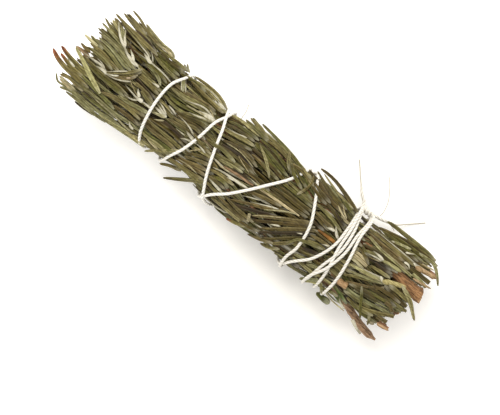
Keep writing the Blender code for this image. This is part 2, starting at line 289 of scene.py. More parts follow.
def stem_mesh(i):
    """A rounded square carried along the stem: the radius takes a wave of four round it, a
    swelling at each node, and seven fine ridges. The first two rings close in over the cut end,
    which is slanted and a little torn, and the last two over the tip."""
    x = np.arange(STEM_ENDS[i][0], LEAFY_ENDS[i] + BARE_TIP, -STEM_STEP)
    x = np.concatenate([[x[0], x[0] + 1e-3, x[0] - 0.15], x[1:], [x[-1] - 0.6, x[-1] - 0.8]])
    shrink = np.ones(len(x))
    shrink[:3] = (0.02, 0.88, 1.0)
    shrink[-2:] = (0.6, 0.02)
    path = stem_line(i, x)
    angle = np.linspace(0, 2 * np.pi, STEM_AROUND, endpoint=False)
    twist = x[:, None] / SQUARE_TURNS_IN + wander[i, 0]
    shape = 1 + SQUARENESS * np.cos(4 * (angle + twist)) + RIDGES * np.sin(7 * angle + 0.2 * x[:, None])
    from_node = ((x / NODE_PITCH) % 1.0) - 0.5
    swelling = 1 + SWELLING * np.exp(-((from_node / SWELLING_RUN) ** 2))
    radius = (stem_radius(i, x) * shrink * swelling)[:, None] * shape
    tangent = unit(np.gradient(path, axis=0))
    side = np.cross(tangent, (0.0, 0.0, 1.0))
    up = np.cross(side, tangent)
    points = path[:, None] + radius[..., None] * (np.cos(angle)[None, :, None] * side[:, None]
                                                  + np.sin(angle)[None, :, None] * up[:, None])
    slant = CUT_SLANT * math.cos(wander[i, 1])
    torn = CUT_TEAR * radius[2] * np.sin(5 * angle + wander[i, 2]) * np.sin(2 * angle + wander[i, 3])
    points[:3, :, 0] += slant * (points[:3, :, 1] - path[0, 1]) + torn
    cut = np.zeros((len(x), STEM_AROUND))
    cut[:2] = 1.0
    tint = np.tile(linear(STEM_ENDS[i][4])[:3], (cut.size, 1))
    # Seen along the stem its points go round the other way, so its faces are turned to point out.
    faces = [face[::-1] for face in tube_faces(len(x), STEM_AROUND)]
    return points.reshape(-1, 3), faces, {"cut": cut.ravel(), "tint": tint}


for i in range(SPRIGS):
    points, faces, values = stem_mesh(i)
    stem = add_mesh(f"stem_{i + 1:02d}", points, faces, bark_finish, values)
    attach(stem, "root")
    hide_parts(f"sprig_{i + 1:02d}_stem")

# ---- String --------------------------------------------------------------------------------
# One length of white cotton kitchen string, three plies twisted together, about a millimetre
# thick. It is wound up the bundle and back, then several times round nearer the cut ends, and
# knotted at the side. Its two ends are left loose and droop to the surface.

# Each row is one turn: x at these angles about the axis, 0 at the knot's side and 90 on top.
TURN_ANGLES = (30, 60, 90, 120, 150, 210, 270, 330)
STRING_TURNS = (
    (36.6, 36.8, 36.6, 33.8, 28.7, 24.8, 20.5, 16.8),
    (14.9, 12.3, 6.9, 0.6, -5.2, -8.6, -11.2, -13.8),
    (-15.4, -17.5, -18.5, -20.3, -22.9, -25.6, -28.2, -31.0),
    (-33.6, -36.0, -36.3, -35.4, -33.8, -29.5, -22.5, -17.8),
    (-16.4, -14.3, -12.2, -9.6, -6.6, -0.8, 8.0, 16.5),
    (19.8, 23.0, 26.7, 27.8, 26.9, 28.8, 32.0, 35.4),
    (37.6, 39.0, 39.4, 37.7, 36.9, 36.3, 36.3, 36.4),
    (36.9, 37.8, 38.3, 39.8, 40.3, 40.2, 40.5, 41.0),
    (41.2, 40.6, 40.8, 39.1, 36.4, 37.0, 38.7, 40.8),
    (41.7, 41.6, 43.0, 44.0, 43.9, 43.0, 42.3),
)
STRING_START, STRING_END = (37.6, -18.0), (41.6, 316.0)  # x, and the angle in its turn
MEAN_RADIUS = 14.0  # of a turn of the string
STRING_DIAMETER = 1.05
STRING_SINKS = 0.35  # the middle of the string lies this far above the bundle's outline
STRING_STEP = 0.45
PLY_PITCH = 4.6  # for one turn of the three plies
PLY_CORE, PLY_LOBE = 0.93, 0.05  # shares of the radius
TAIL_A = ((36.2, 17.0, 5.7), (34.8, 18.0, 5.5), (32.6, 20.3, 4.3), (30.2, 23.0, 2.3),
          (28.4, 25.2, 0.8), (26.6, 27.2, 0.3))
TAIL_B = ((42.2, 15.6, 6.0), (44.0, 15.9, 5.6), (46.4, 16.6, 4.4), (49.3, 17.6, 2.6),
          (51.6, 19.6, 1.1), (54.0, 21.8, 0.4), (56.7, 24.3, 0.3))
# Painted shade: the string is drawn greyer towards the knot.
KNOT_PAINTED_SHADE, KNOT_PAINTED_SHADE_FROM, KNOT_PAINTED_SHADE_RUN = 0.22, 8.0, 20.0  # greyer towards the knot, from this x on
TAIL_FRAYED, TAIL_FULL, TAIL_THINNEST = 8.0, 13.0, 0.36  # from each end, and the share left there
FIBRES = (
    ((43.2, 16.6, 5.4), (43.4, 18.4, 4.6), (42.6, 22.0, 2.8), (40.4, 25.8, 1.2), (38.0, 28.8, 0.3)),
    ((45.6, 16.2, 4.8), (47.8, 16.4, 4.6), (50.0, 15.6, 4.9)),
    ((-12.0, 13.2, 9.6), (-12.2, 16.0, 9.2), (-13.0, 18.6, 8.0)),
)
FIBRE_RADIUS, FIBRE_AROUND, FIBRE_POINTS = 0.11, 5, 24
KNOT_AT = np.array((39.0, 14.9, 7.4))
KNOT_HALF_LENGTH, KNOT_RADIUS, KNOT_TURNS, KNOT_POINTS = 1.9, 0.6, 1.5, 9
END_POINTS = 240  # along each loose end and its strand of the knot


def smooth_curve(points, count):
    """A Catmull-Rom curve through the points, read at evenly spaced parameters."""
    given = np.asarray(points, float)
    held = np.vstack([2 * given[0] - given[1], given, 2 * given[-1] - given[-2]])
    t = np.linspace(0.0, len(given) - 1.0, count)
    i = np.minimum(t.astype(int), len(given) - 2)
    f = (t - i)[:, None]
    a, b, c, d = (held[i + k] for k in range(4))
    return 0.5 * (2 * b + (c - a) * f + (2 * a - 5 * b + 4 * c - d) * f**2
                  + (3 * b - a - 3 * c + d) * f**3)


def evenly(path, step):
    """The path read again at equal steps of its length, and the length at each."""
    lengths = np.concatenate([[0], np.cumsum(np.linalg.norm(np.diff(path, axis=0), axis=1))])
    at = np.linspace(0, lengths[-1], int(lengths[-1] / step) + 1)
    return np.stack([np.interp(at, lengths, column) for column in path.T], axis=1), at


def string_route():
    """x and angle along the wraps, from the knot round and back to the knot."""
    turns = [STRING_START]
    for turn, row in enumerate(STRING_TURNS):
        turns += [(x, 360.0 * turn + angle) for x, angle in zip(row, TURN_ANGLES)]
    turns.append((STRING_END[0], 360.0 * (len(STRING_TURNS) - 1) + STRING_END[1]))
    return smooth_curve(turns, 40 * len(turns))


route = string_route()
route_slope = np.gradient(route[:, 0], np.radians(route[:, 1]) * MEAN_RADIUS)


def to_string(points):
    """How far each point is from the nearest strand: measured along the bundle at the point's
    own angle, and turned by the strand's slant."""
    wide, tall, y, z = section_of(points)
    angle = np.degrees(np.arctan2(z / tall, y / wide)) % 360.0
    nearest = np.full(angle.shape, np.inf)
    for turn in range(-1, len(STRING_TURNS)):
        at = angle + 360.0 * turn
        inside = (at > route[0, 1]) & (at < route[-1, 1])
        away = np.abs(points[..., 0] - np.interp(at, route[:, 1], route[:, 0]))
        away /= np.hypot(1.0, np.interp(at, route[:, 1], route_slope))
        nearest = np.where(inside, np.minimum(nearest, away), nearest)
    return nearest


def strand_lift(x, angles):
    """How far each point rises over the earlier strands that it crosses: enough for the two to
    touch, eased along the string."""
    lift = np.zeros(len(x))
    slope = np.gradient(x, np.radians(angles) * MEAN_RADIUS)
    for back in range(1, len(STRING_TURNS)):
        earlier = angles - 360.0 * back
        away = np.abs(x - np.interp(earlier, angles, x)) / np.hypot(1.0, slope)
        meets = (earlier > angles[0]) & (away < STRING_DIAMETER)
        rise = np.sqrt(np.clip(STRING_DIAMETER**2 - away**2, 0, None))
        lift = np.where(meets, np.maximum(lift, rise), lift)
    window = np.hanning(9)
    return np.convolve(np.pad(lift, 4, mode="edge"), window / window.sum(), mode="valid")


def wraps_line():
    """The wraps on the bundle's outline: half width times cosine, half height times sine, moved
    outwards to where the middle of the string lies."""
    angles = np.linspace(route[0, 1], route[-1, 1], 90 * len(STRING_TURNS))
    x = np.interp(angles, route[:, 1], route[:, 0])
    turn = np.radians(angles)
    wide = half_width(x)
    tall = np.where(np.sin(turn) < 0, half_under(x), RISE * wide)
    skin = np.stack([x, DRIFT * x + wide * np.cos(turn), AXIS_Z + tall * np.sin(turn)], axis=1)
    return skin + (STRING_SINKS + strand_lift(x, angles))[:, None] * outwards(skin)


def knot_strand(phase):
    """One of the two strands of the knot: a short helix along the bundle's length."""
    t = np.linspace(1, -1, KNOT_POINTS)
    turn = phase + KNOT_TURNS * np.pi * t
    return KNOT_AT + np.stack([KNOT_HALF_LENGTH * t, KNOT_RADIUS * np.cos(turn),
                               KNOT_RADIUS * np.sin(turn)], axis=1)


def string_line():
    """Loose end, knot, wraps, knot, loose end: one smooth line."""
    wraps = wraps_line()
    start = smooth_curve(np.vstack([TAIL_B[::-1], knot_strand(0.0), wraps[:1]]), END_POINTS)
    finish = smooth_curve(np.vstack([wraps[-1:], knot_strand(np.pi), TAIL_A]), END_POINTS)
    return evenly(np.vstack([start[:-1], wraps, finish[1:]]), STRING_STEP)


def carried_frames(path):
    """Directions square to the path that turn as little as they can from point to point."""
    tangent = unit(np.gradient(path, axis=0))
    side = np.empty_like(path)
    side[0] = unit(np.cross(tangent[0], (0.3, 0.5, 1.0)))
    for k in range(1, len(path)):
        side[k] = unit(side[k - 1] - tangent[k] * (side[k - 1] @ tangent[k]))
    return side, np.cross(tangent, side)


COTTON_FIBRES = 5.0  # to a millimetre: as coarse as must be to show, for real ones are finer


def cotton():
    """Bleached cotton string: soft white and fully matt, with painted shade in the grooves between
    plies, towards the knot, and over the frayed ends and loose fibres.
    """
    made, tree = new_material("bleached_cotton_string")
    groove = add_node(tree, "ShaderNodeAttribute", {"attribute_name": "groove"}).outputs["Fac"]
    fibre = streaks(tree, COTTON_FIBRES, 3.0, 1.0)
    whites = ((0.3, "#F3F1EA"), (0.7, "#FEFDFA"))
    white = add_node(tree, "ShaderNodeValToRGB", None, {"Fac": fibre}, whites).outputs["Color"]
    shaded = {0: groove, 6: white, 7: linear("#B9B2A0")}
    colour = add_node(tree, "ShaderNodeMix", OVER, shaded).outputs[2]
    close_material(tree, colour, fibre, depth=0.15, roughness=0.95, **{"Sheen Weight": 0.2})
    return made


def carried_ring(path, radius, around):
    """A ring of points about each point of the path: its sideways direction times the cosine,
    and its upward one times the sine. radius is one number a point of the ring."""
    side, up = carried_frames(path)
    angle = np.linspace(0, 2 * np.pi, around, endpoint=False)[None, :, None]
    towards = np.cos(angle) * side[:, None] + np.sin(angle) * up[:, None]
    return path[:, None] + radius[..., None] * towards


# The three plies show as lobes round the string. Each end has frayed to one thin strand.
STRING_AROUND = 12
string_path, string_at = string_line()
angle = np.linspace(0, 2 * np.pi, STRING_AROUND, endpoint=False)
lobes = np.cos(3 * (angle[None] - 2 * np.pi * string_at[:, None] / PLY_PITCH))
from_end = np.minimum(string_at, string_at[-1] - string_at)
worn = smooth_step((from_end - TAIL_FRAYED) / (TAIL_FULL - TAIL_FRAYED))
left = TAIL_THINNEST + (1 - TAIL_THINNEST) * worn
radius = STRING_DIAMETER / 2 * (PLY_CORE + PLY_LOBE * lobes) * left[:, None]
points = carried_ring(string_path, radius, STRING_AROUND).reshape(-1, 3)
faces = tube_faces(len(string_path), STRING_AROUND)
# Painted shade, growing greyer towards the knot.
knot_painted_shade = KNOT_PAINTED_SHADE * smooth_step((string_path[:, :1] - KNOT_PAINTED_SHADE_FROM) / KNOT_PAINTED_SHADE_RUN)
# Painted shade: grey in the grooves between plies, and full over the frayed ends.
groove = np.maximum(np.clip(-lobes, 0, 1) ** 2 + knot_painted_shade, 1.0 - worn[:, None]).clip(0, 1).ravel()
for fibre in FIBRES:
    path = smooth_curve(fibre, FIBRE_POINTS)
    faces += tube_faces(FIBRE_POINTS, FIBRE_AROUND, len(points))
    thin = np.full((FIBRE_POINTS, FIBRE_AROUND), FIBRE_RADIUS)
    points = np.concatenate([points, carried_ring(path, thin, FIBRE_AROUND).reshape(-1, 3)])
    # The loose fibres take the full painted shade.
    groove = np.concatenate([groove, np.ones(thin.size)])
string = add_mesh("string", points, faces, cotton(), {"groove": groove})
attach(string, "root")
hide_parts("string_wraps", "string_knot", "string_tail_a", "string_tail_b")

# ---- Leaves --------------------------------------------------------------------------------
# Narrow leathery leaves in opposite pairs up each stem, with smaller ones in their axils. Dried,
# they are dull olive above, their edges rolled under, and pale felt below. The string presses them
# flat, each over the bases of those ahead; the topmost, and bits of stem, are laid one by one.

# Each kind's colour, and how much of its pale felt shows, from 0 to 1. The leaves are o olive, d
# dark, k darkest, l light, g grey green, G deep green, B bright green, y yellow, e earth brown, c
# cream, p felted side up and r red-tipped; b is bark, t an orange stem and n a pinkish one.
LEAF_KINDS = {
    "o": ("#88814E", 0.0), "d": ("#5D511B", 0.0), "k": ("#3A2B05", 0.0), "l": ("#A4A173", 0.0),
    "g": ("#7B7942", 0.0), "G": ("#6A6725", 0.0), "B": ("#5C6827", 0.0), "y": ("#C6C087", 0.05),
    "e": ("#7E7042", 0.0), "b": ("#C0A27F", 0.0), "c": ("#C6B988", 0.2), "p": ("#8E8860", 1.0),
    "r": ("#8C834B", 0.0), "t": ("#AE7D3F", 0.0), "n": ("#AA8D6F", 0.0),
}
RED_TIP, BROWN_TIP = "#A05A38", "#6E5832"
COMMON_KINDS, COMMON_SHARES = "odklgGey", (0.34, 0.12, 0.04, 0.17, 0.1, 0.08, 0.1, 0.05)

# The topmost leaves, in the order they are laid: the kind, = if both ends are cut square, ^ if it
# lies over the string, @ if it is a bit of round stem, its width, and the points that its middle
# passes over, x and y, from its base to its tip.
TOPMOST = """
o 1.3 -36 14.4 -40 14.5 -44 14.4 -48 14.7
G 1.3 -36 12.9 -41 12.9 -45 12.5 -49 13.2
d 1.2 -36 13.7 -41 13.5 -45 13.9
G 1.3 -36 11.5 -41 11.4 -46 11.3
o 1.3 -36 10.2 -40 10.2 -44 10.8 -46.5 11.8
c 1.0 -41.5 14.9 -43.5 15.4 -46 15.3
l 1.5 -41.2 15.2 -43 16 -47 16.1 -51 17 -54.7 18.2
o 1.2 -53 15.4 -56 16 -57.5 16.3 -59.6 16.8
o 1.3 -45 14.9 -49 15.4 -53 16.4 -57 17.9 -61.1 18.7
o 1.3 -47 10.6 -52 11.6 -56 12.4 -61 13.3
o 1.3 -49 13.6 -53 14.4 -57 15 -62.3 15.9
k 1.2 -47 12.9 -52 14 -56 14.3
o 1.4 -46 12.3 -51 12.9 -56 13.6 -60 14 -64 14.6
y 1.3 -56 9.6 -59 10.6 -63.3 12.2
o 1.2 -57 10.8 -60 11.8 -63.2 13.2
o 1.3 -55 8.4 -60 9.3 -65.5 11.1
l 1.2 -54 7.3 -60 8.3 -65.3 9
o 1.2 -53 6.6 -60 7.2 -65.2 7.5
o 1.3 -50.5 5.1 -54 5.7 -58 6.5 -63.3 7
l 1.4 -48 3.9 -52 4.5 -56 5.4 -60 5.9 -63.2 5.7
l 1.4 -48.5 2.9 -52 3.4 -56 4.4 -60 4.9 -63 4.8
o 1.3 -50 1.4 -54 2.4 -57 3.5 -61 4.1 -64.2 4.1
o 1.3 -60 3 -63 3.4 -65.2 4.1
c@ 1.1 -61.5 2.6 -64 2.7 -67 3
o 1.4 -51.5 0.4 -55 1.2 -59 2.1 -63.9 2.2
o 1.4 -53 -0.5 -57 0.4 -61 0.8 -64 1
b@ 1.3 -61.5 -1.7 -64.6 -1.5 -66.9 -1.7
e@ 1.2 -62 -0.5 -64.5 -0.2 -66.2 0.1
o 1.4 -44 -3.8 -49 -3.5 -54 -3.6 -59 -3 -63.5 -2.6
G 1.3 -46 -4.7 -51 -4.3 -56 -4.4 -60 -3.9
r 1.8 -57 -6.6 -61 -6.4 -64 -6.0 -67.5 -5.4 -70.8 -4.4
r 1.6 -59 -8 -64 -7.7 -67 -7.1 -69.5 -6.4
p 0.6 -63.4 -7.1 -65.5 -6.6 -67 -6.1
r 1.8 -56 -9.7 -62 -9.3 -66.5 -8.9 -69.8 -8.0 -72.5 -6.6
o 1.3 -42 -10.8 -48 -10.5 -54 -10.5 -60 -10.6 -66 -11.2
o 1.3 -57 -11.5 -62 -11 -65.8 -11.7
c 1.2 -59 -12.9 -62.5 -12.6 -65.6 -12.4
c 0.8 -60.5 -13.5 -63 -13.2 -65 -13.1
l 0.8 -60 -13.5 -63.5 -13.8 -65.4 -13.9 -67.2 -12
l 1.5 -50 -14.7 -55 -14.3 -60 -14.3 -63.9 -15.7
l 1.3 -45 -14.9 -51 -14.9 -57 -14.8 -61.5 -15
l 1.2 -41 -12.9 -45 -12.7 -49 -13.4 -54 -13.5 -59 -13.3
y 1.3 -31 -13.5 -36 -13.7 -41 -14.1 -46 -14.7
y 1.2 -36 -12.9 -40 -13.2 -44 -13.9 -48.5 -14.3
g 1.2 -43.5 -12 -48 -11.9 -52 -12.2 -57 -12
e 1.4 -37 -9 -42 -8.7 -46.5 -9.1
o 1.4 -37 -7.4 -42 -7.2 -47 -7.6 -52 -8.8
g 1.3 -45.5 -9.8 -50 -9 -55 -8.4 -60 -7.6
e 0.7 -36.2 -9.2 -38.3 -8.3
l 1.3 -36.5 -10.4 -41 -9.9 -46 -10.2 -52 -9.8 -58 -10
c 0.6 -36.5 -12 -39 -12.2 -43 -11.6 -47 -11.3 -52 -11.2
p 0.8 -36.9 -11.2 -38.3 -10.9 -39.2 -9.9
o 1.6 -36.5 -5.7 -40 -5.6 -44.5 -5.9 -48 -6.7 -51.8 -7.9
y 1.7 -51.8 -8.7 -54.5 -7.6 -57.5 -6.3 -60.5 -4.8 -63.3 -3.4 -66.8 -1.9
o 1.3 -37 3.9 -42 3.8 -46 4.1
o 1.3 -36.5 2.5 -41 2.8 -46 3.3
k 1.2 -37 0.9 -41 1.4 -46 2.2
e 1.2 -37 -0.5 -40 0.4 -45 1.2
o 1.3 -36.5 -1.3 -39 -0.9 -42 0
l 1.4 -36.5 -4.2 -40 -4.4 -43.5 -4.9 -47 -5.2
l 1.3 -38.3 5.2 -40 6.3 -42.5 7.2 -46.5 7.3
G 1.3 -37 7 -41 8.1 -45 8.3 -49 8
p 0.7 -38.4 4.5 -39.5 4.5 -41 4.3
p 0.45 -36.5 8.1 -40 8.8 -44 9 -46 9.1 -49 8.9 -52 8.7
p 0.4 -45 9.6 -46.2 11 -47.4 11.9
p 0.45 -46 9.4 -48 10.6 -51 11.3 -54 11.9
p 1.0 -44.9 8.9 -46.6 9.3 -48.8 10.1
l 1.6 -54.8 8 -57 9.9 -59.5 12.2
p 0.8 -54.3 7.5 -57 8.9 -59.3 10.7 -61.5 13.1
p 0.7 -54.6 8 -56.3 9.7 -57.4 11.3 -58 12.3
p 1.1 -47.6 5.5 -49.4 5.5 -52 6.2 -54.6 7.5
p 0.8 -49.5 5.9 -50.9 7 -52.8 8.3
p 0.45 -46 4.9 -47.6 5.4
p 0.65 -54.8 -1.9 -57.5 -1.4 -60.5 -1.6 -63.8 -1.7
p 0.4 -55.4 -1.5 -57.4 -0.7 -59.3 -0.5
p 0.9 -53.6 -2.5 -55.6 -2.3 -58 -2.6
o 1.6 -45.8 4.6 -47.4 2.6 -49 1 -51 -0.8 -53.2 -2.2
o 1.3 -46.2 5.4 -48 3.3 -50.2 1.2 -52.5 -0.6 -54.2 -2.2
e 1.2 -46.4 2.8 -47.5 0.9 -49.5 -0.5 -52 -1.7
p 0.4 -49.2 2.2 -51.8 0.1 -54.6 -2.3
p 0.45 -46.3 0.3 -48.5 -1.1 -51 -2.2 -54 -2.8
p 0.55 -50.5 -0.7 -52 -1.7 -54 -2.5
b 0.7 -47.1 1 -48.1 0.4
p 0.7 -35.8 -2.4 -38 -2.3 -41 -2.5
p 1.3 -39.6 -2.4 -41 -2.5 -42.8 -2.6
c 0.3 -41.3 -2.2 -44 -1.1 -46.6 0.4
p 0.9 -41.3 -1.9 -42.5 -0.9 -43.3 0
p 0.45 -41.8 -2.6 -44.5 -2.1 -47.2 -1.6
p 0.5 -41.2 -3.1 -43 -4 -45.5 -4.2
o 1.2 -17.5 12.7 -20 13.6 -23.5 14.5 -28 14.7 -32 14.5
y 1.3 -19 12.5 -23 13.5 -27 13.8 -31 13.6
l 1.3 -17 12 -20 11.4 -25 11.8 -30 12.6
o 1.3 -17 10.8 -22 10.8 -27 11.4 -32 12.2
G 1.4 -27 12.6 -31 12.9 -36 12.3
e 1.5 -21 9.7 -26 9.7 -31 9.1 -36 9.3
o 1.4 -20 8.9 -25 9 -30 8.1 -35 7.9
p 0.4 -21 13.3 -25 13.9 -28 13.5
p 0.8 -18 12.2 -19.8 12.6 -21.6 13
p 0.6 -17.8 11.8 -20 12.1 -23 11.9
l 1.2 -31.6 8.2 -33.2 10.2 -34.4 11.9
p 0.3 -32.3 8.2 -34.9 11.4
p 0.3 -30.8 8.5 -33.5 11.9
l 0.8 -34.4 14.6 -35.4 15.4 -36.5 16.3
o 0.8 -35.4 14.4 -36.3 14.8 -37.3 15.4
l 1.3 -21 7.7 -24 7.4 -27 6.6 -31 6.2 -35.6 6.5
G 1.3 -21 5.9 -24 5.4 -28 4.5 -32 4.2 -35.6 5
o 1.3 -19 4.4 -22 4.5 -25 3.4 -28 2.6 -32 2.5 -35.8 3.4
d 1.3 -18.5 3.3 -22 3.4 -26 2.4 -30 1.9
d 1.3 -18.8 2 -22 2.2 -25 1.8 -29 1.2
e 1.3 -19 0.8 -22 1.2 -25 0.2 -29 -0.2
e 1.2 -20 -0.4 -25 -0.6 -30 -1.2
o 1.2 -19 6 -21.5 5 -24 4.1 -27.5 2.8
p 1.5 -18 7 -19.6 6.9 -22 6.6 -24 6.3
p 0.5 -18.9 7.5 -22 8.3 -24.5 8.1 -27 7.2 -30 6.2
c 0.7 -19 6.9 -22 6.4 -25 5.9 -28 5.4
p 0.6 -19 6.4 -21.4 5.4 -23.4 4.7 -26 4.1
c 0.5 -18.5 7.4 -20 8.4 -21.3 9
d 1.3 -20.8 -5.2 -25 -4.5 -30 -4.7 -35 -5.1
k 1.3 -20.6 -3.9 -24 -3.7 -28 -3.2 -31 -2.8
o 1.4 -20.8 -6.6 -26 -6.4 -31 -6.4 -35.2 -6.2
e 1.4 -21 -8 -26 -7.6 -31 -7.8 -35.2 -7.5
G 1.4 -21.5 -9.3 -26 -8.9 -31 -9.2 -35 -8.9
l 1.3 -22.5 -10.6 -27 -10.2 -31 -10.4 -34.6 -10
l 1.3 -23.5 -12.1 -28 -12.2 -32 -12.4 -36 -12.6
c 0.9 -26.6 -11.3 -29 -11 -31.2 -10.7
y 1.1 -31 -12.9 -35 -13 -39 -13.4
p 1.0 -30.7 -1.5 -33 -1.4 -35.6 -1.2
c 1.0 -30.9 -1.9 -33 -2.4 -35.5 -3.1
p 0.55 -31.3 -0.9 -33.3 0.2 -35.6 1
p 0.5 -31.5 -1.2 -33.5 -0.6 -35.6 -0.1
c 0.6 -30.6 -2.9 -31.8 -3.7 -33.3 -4.5
o 1.0 -22 -9.2 -25 -11 -27.6 -12.6
l 1.2 -21.3 -7.6 -24.8 -10.6 -27.5 -12.6 -30.1 -14.5
o 1.2 -17 -12.2 -20.5 -13.2 -23.7 -14.7
e 1.3 -10 -6.9 -14 -7.7 -17.5 -8.7 -20 -9.1
e 1.3 -9 -8.4 -13 -8.9 -17 -9.6 -20.6 -9.9
o 1.3 -8.5 -9.9 -13 -10.4 -18 -10.7 -21.6 -10.9
o 1.3 -9 -11.4 -14 -11.7 -19 -11.9 -23 -12.1
c 0.4 -12 -9.6 -16 -9.3 -19.6 -9.7
o 1.4 -8 -10.6 -12 -12.6 -16 -15 -20.2 -17.3
d 1.3 -11 -3.8 -15 -4.6 -18.8 -6.6
e 1.3 -10.5 -5.2 -14 -5.9 -18.5 -7.8
y 1.3 -10.5 -2.6 -14 -3 -18 -3.6
c 0.45 -15 -2.4 -16.6 -3.7 -18.4 -5.5
p 0.5 -13.9 -2.8 -16.4 -2.3 -18.6 -2.2
p 0.45 -19.6 -0.9 -22.3 0.3 -25 1 -28 1.3
p 0.6 -19.5 -1.6 -22.8 -1.1
p 0.9 -18.2 -2.2 -20.2 -1.9 -22.4 -1.4
p 0.5 -19.6 -2.8 -21.4 -3.2 -23 -4.1
p 0.35 -22.5 -2.5 -26 -2.4
y 1.4 -3 12.4 -8 12.6 -12 12.6 -15 12.1
G 1.4 -4 10.9 -8 11.1 -12 10.9 -14.6 10.2
d 1.3 -4 9.8 -8 9.7 -12 9.4 -14.4 8.9
p 0.5 -6.5 9.2 -10 8.2 -14 7.7
d 1.3 5 7.8 1 7.4 -3 7.8
k 1.2 4 5.8 0 6.4 -4 6.7
e 1.3 6 4.8 2 5.6 -2 6.1
o 1.5 -3 8.6 -7 8.1 -11 7.2 -14 6.5
d 1.3 -3 7 -8 6.4 -12.6 5.4
d 1.4 0 5 -4 5.5 -8 5.2 -12 4.4
e 1.3 2 3.9 -2 4.8 -6 4.8
k 1.3 1 2.3 -4 3.5 -8 3.3 -11.6 2.9
d 1.2 2 1.4 -3 2.4 -8 2.4 -11.8 2
c 0.35 1 3.1 -4 4.2 -7 4.3 -10.6 3.9
e 0.35 3 1.9 0 2.6 -3 2.9 -5 3.2
c 0.3 1 0.9 -2 1.8 -5 3
o 1.3 -2 0.5 -6 0.1 -10 -0.6 -13 -0.7
l 1.3 -1 -0.4 -5 -0.8 -9 -1.4
n@ 1.1 4.6 -1.4 0 -1.7 -3.5 -2.1 -6.8 -2.6
k 0.6 4 -0.9 0 -1 -4 -1.3
c 0.4 -4 -2.8 -7 -3.1 -10 -2.7
p 0.85 3.6 -3.3 0 -3.7 -4 -3.9 -6.5 -4.2 -9.2 -4.9
p 0.5 -1 -3.9 -3 -4.5 -4.8 -5.3
o 1.3 0 -5.3 -5 -5.2 -9.6 -5.9
G 1.3 -1 -6.9 -4 -6.5 -8 -7.3
e 1.3 -2.5 -8 -6 -7.7 -9.2 -8.1
p 0.8 -2 -9.4 -5 -8.9 -8.4 -8.3
o 1.3 0 -10.6 -5 -10 -8 -9.6
g 1.5 12.6 13 7 14.2 1 15.2 -5.6 15.9
o 1.5 11 12.6 5 13.8 0 14.4 -5 14.7
G 1.5 15 12.7 11 13.6 7.5 14.1
g 1.5 -2 13.7 -6 14.8 -9 15.8
o 1.4 -1 13.1 -5 13.9 -9.7 14.8
g 1.5 0 12.4 -5 13.2 -10.4 13.9
o 1.3 14 11.2 9 11.9 4 12.6 -1 12.3
G 1.3 13 8.9 8 10 3 11.2 -3 11.4
G 1.3 12 7.6 6 8.8 1 10.3 -3.5 10.3
G 1.3 9 6.8 5 7.6 1 8.9 -3 9.2
d 1.3 12.4 5.9 8 6.6 3 7.4
o 1.2 10 4.8 6 5.4 2 6.2
o 1.3 12 9 10 10.8 8.2 12.6 7.3 14.5
o 1.2 10.4 9.9 8.4 11.6 6.6 14.8
G 0.9 13.4 8.6 11 11 9.4 12.4
l 1.0 7.2 3.6 4.5 5.8 1.5 7.9 -1.8 9.9
G 1.3 24 7.7 19 9.2 14.5 10.3 10.5 10.6
o 1.3 23 8.9 18.5 10.6 14 11.7
G 1.2 22 6.6 17.5 7.9 13.6 8.4
o 1.2 24 5.8 19 6.2 14 6.4 11 7
G 1.3 24 4.7 19 4.8 14 4.6 10.6 4.4
d 1.2 26 3.6 21 3.5 15 3.6 11 3.3
d 1.3 25 2.3 20 2.3 15 2.4 9 1.7
d 1.2 24 1.2 19 1.2 14 1.2 9 0.6
d 1.3 9 0.4 5 1.2 1 0.7
c 0.9 22 0 17 -0.3 12 -0.6 6.6 -1.2
e 0.35 6.4 -0.1 4 0.4 0.8 0.4
p 0.3 6 -0.6 2 -0.3
e 1.3 15 -1.3 10 -2.3 5.5 -3.4 3 -4.4
e 1.3 17 -2.1 13 -4 9 -5.8 5 -7.4 1 -9.4
k 1.3 15 -5 11 -7 6.5 -8.6 2.5 -9.8
e 1.4 27 1.1 24 -0.6 20 -2.7 15 -5.5 10 -9
d 1.4 28 0.1 24.5 -1.8 20 -4.6 15.5 -7.5 11 -10.4
c 0.35 18.6 -3.6 14 -6.5 10 -9.3
e 1.4 28.6 -1.0 25.5 -2.8 21.5 -5.6 18 -8.5 14 -11.3
k 1.3 29.5 -2 26.5 -3.8 22.5 -7 18.5 -10.2 15 -12.7
d 1.4 29.8 -3.6 26.6 -5.6 22.8 -8.8 19.5 -11.8 17 -13.2
e 1.3 26 -7.8 23 -10.7 20 -13.2
c 0.5 21 -0.2 18.5 -1.2 15.5 -3 12 -5.4
p 0.45 15.5 -2.4 12.5 -3.6 9.5 -5 7 -6.1
p 0.35 9 -3.9 6 -5.1 3 -6.6
p 0.55 19.3 -6.4 17.6 -7.2 16.2 -8.1
l 1.3 9 -13 3 -12.9 -4 -12.5
e 1.3 10 -11.9 4 -11.7 -2 -11.1
e 1.2 11 -10.6 5.5 -10.4 0 -10
d 1.1 15.5 -11.8 11.5 -12.4 8 -13.1
p 0.3 15 -10.4 12 -10.8
c= 1.0 9.2 -9.2 9.8 -10.4 10.3 -11.6
r 1.1 11 -13 8 -14.3 4.2 -15.2
e 1.2 20 -12.4 16 -13.9 12.7 -14.8
o 1.2 23.5 -12.3 20.5 -13.8 17.8 -14.6
d 1.3 34 9.3 29 10.4 24 12 20.5 13.4
d 1.3 31 9.7 26 10.4 21 12.5 15.5 14.4
d 1.3 32 11.2 26.5 12.1 22 13.7 18 15.4
G 1.2 36.5 11 32 12.2 28 13.4 24 14.3
l 0.9 33 12.9 27 13.7 23.5 14.8 20.2 15.9
d 1.5 38 12 33.5 13.6 29.5 15.2 25.5 16.5 22 17 18.3 17
d 1.3 36 5.6 32 7 28 8.3 24.4 9
o 1.3 35 4.4 31 5.6 27 6.2 24 6.4
e 1.3 33 3.4 28 4.3 25 4.4
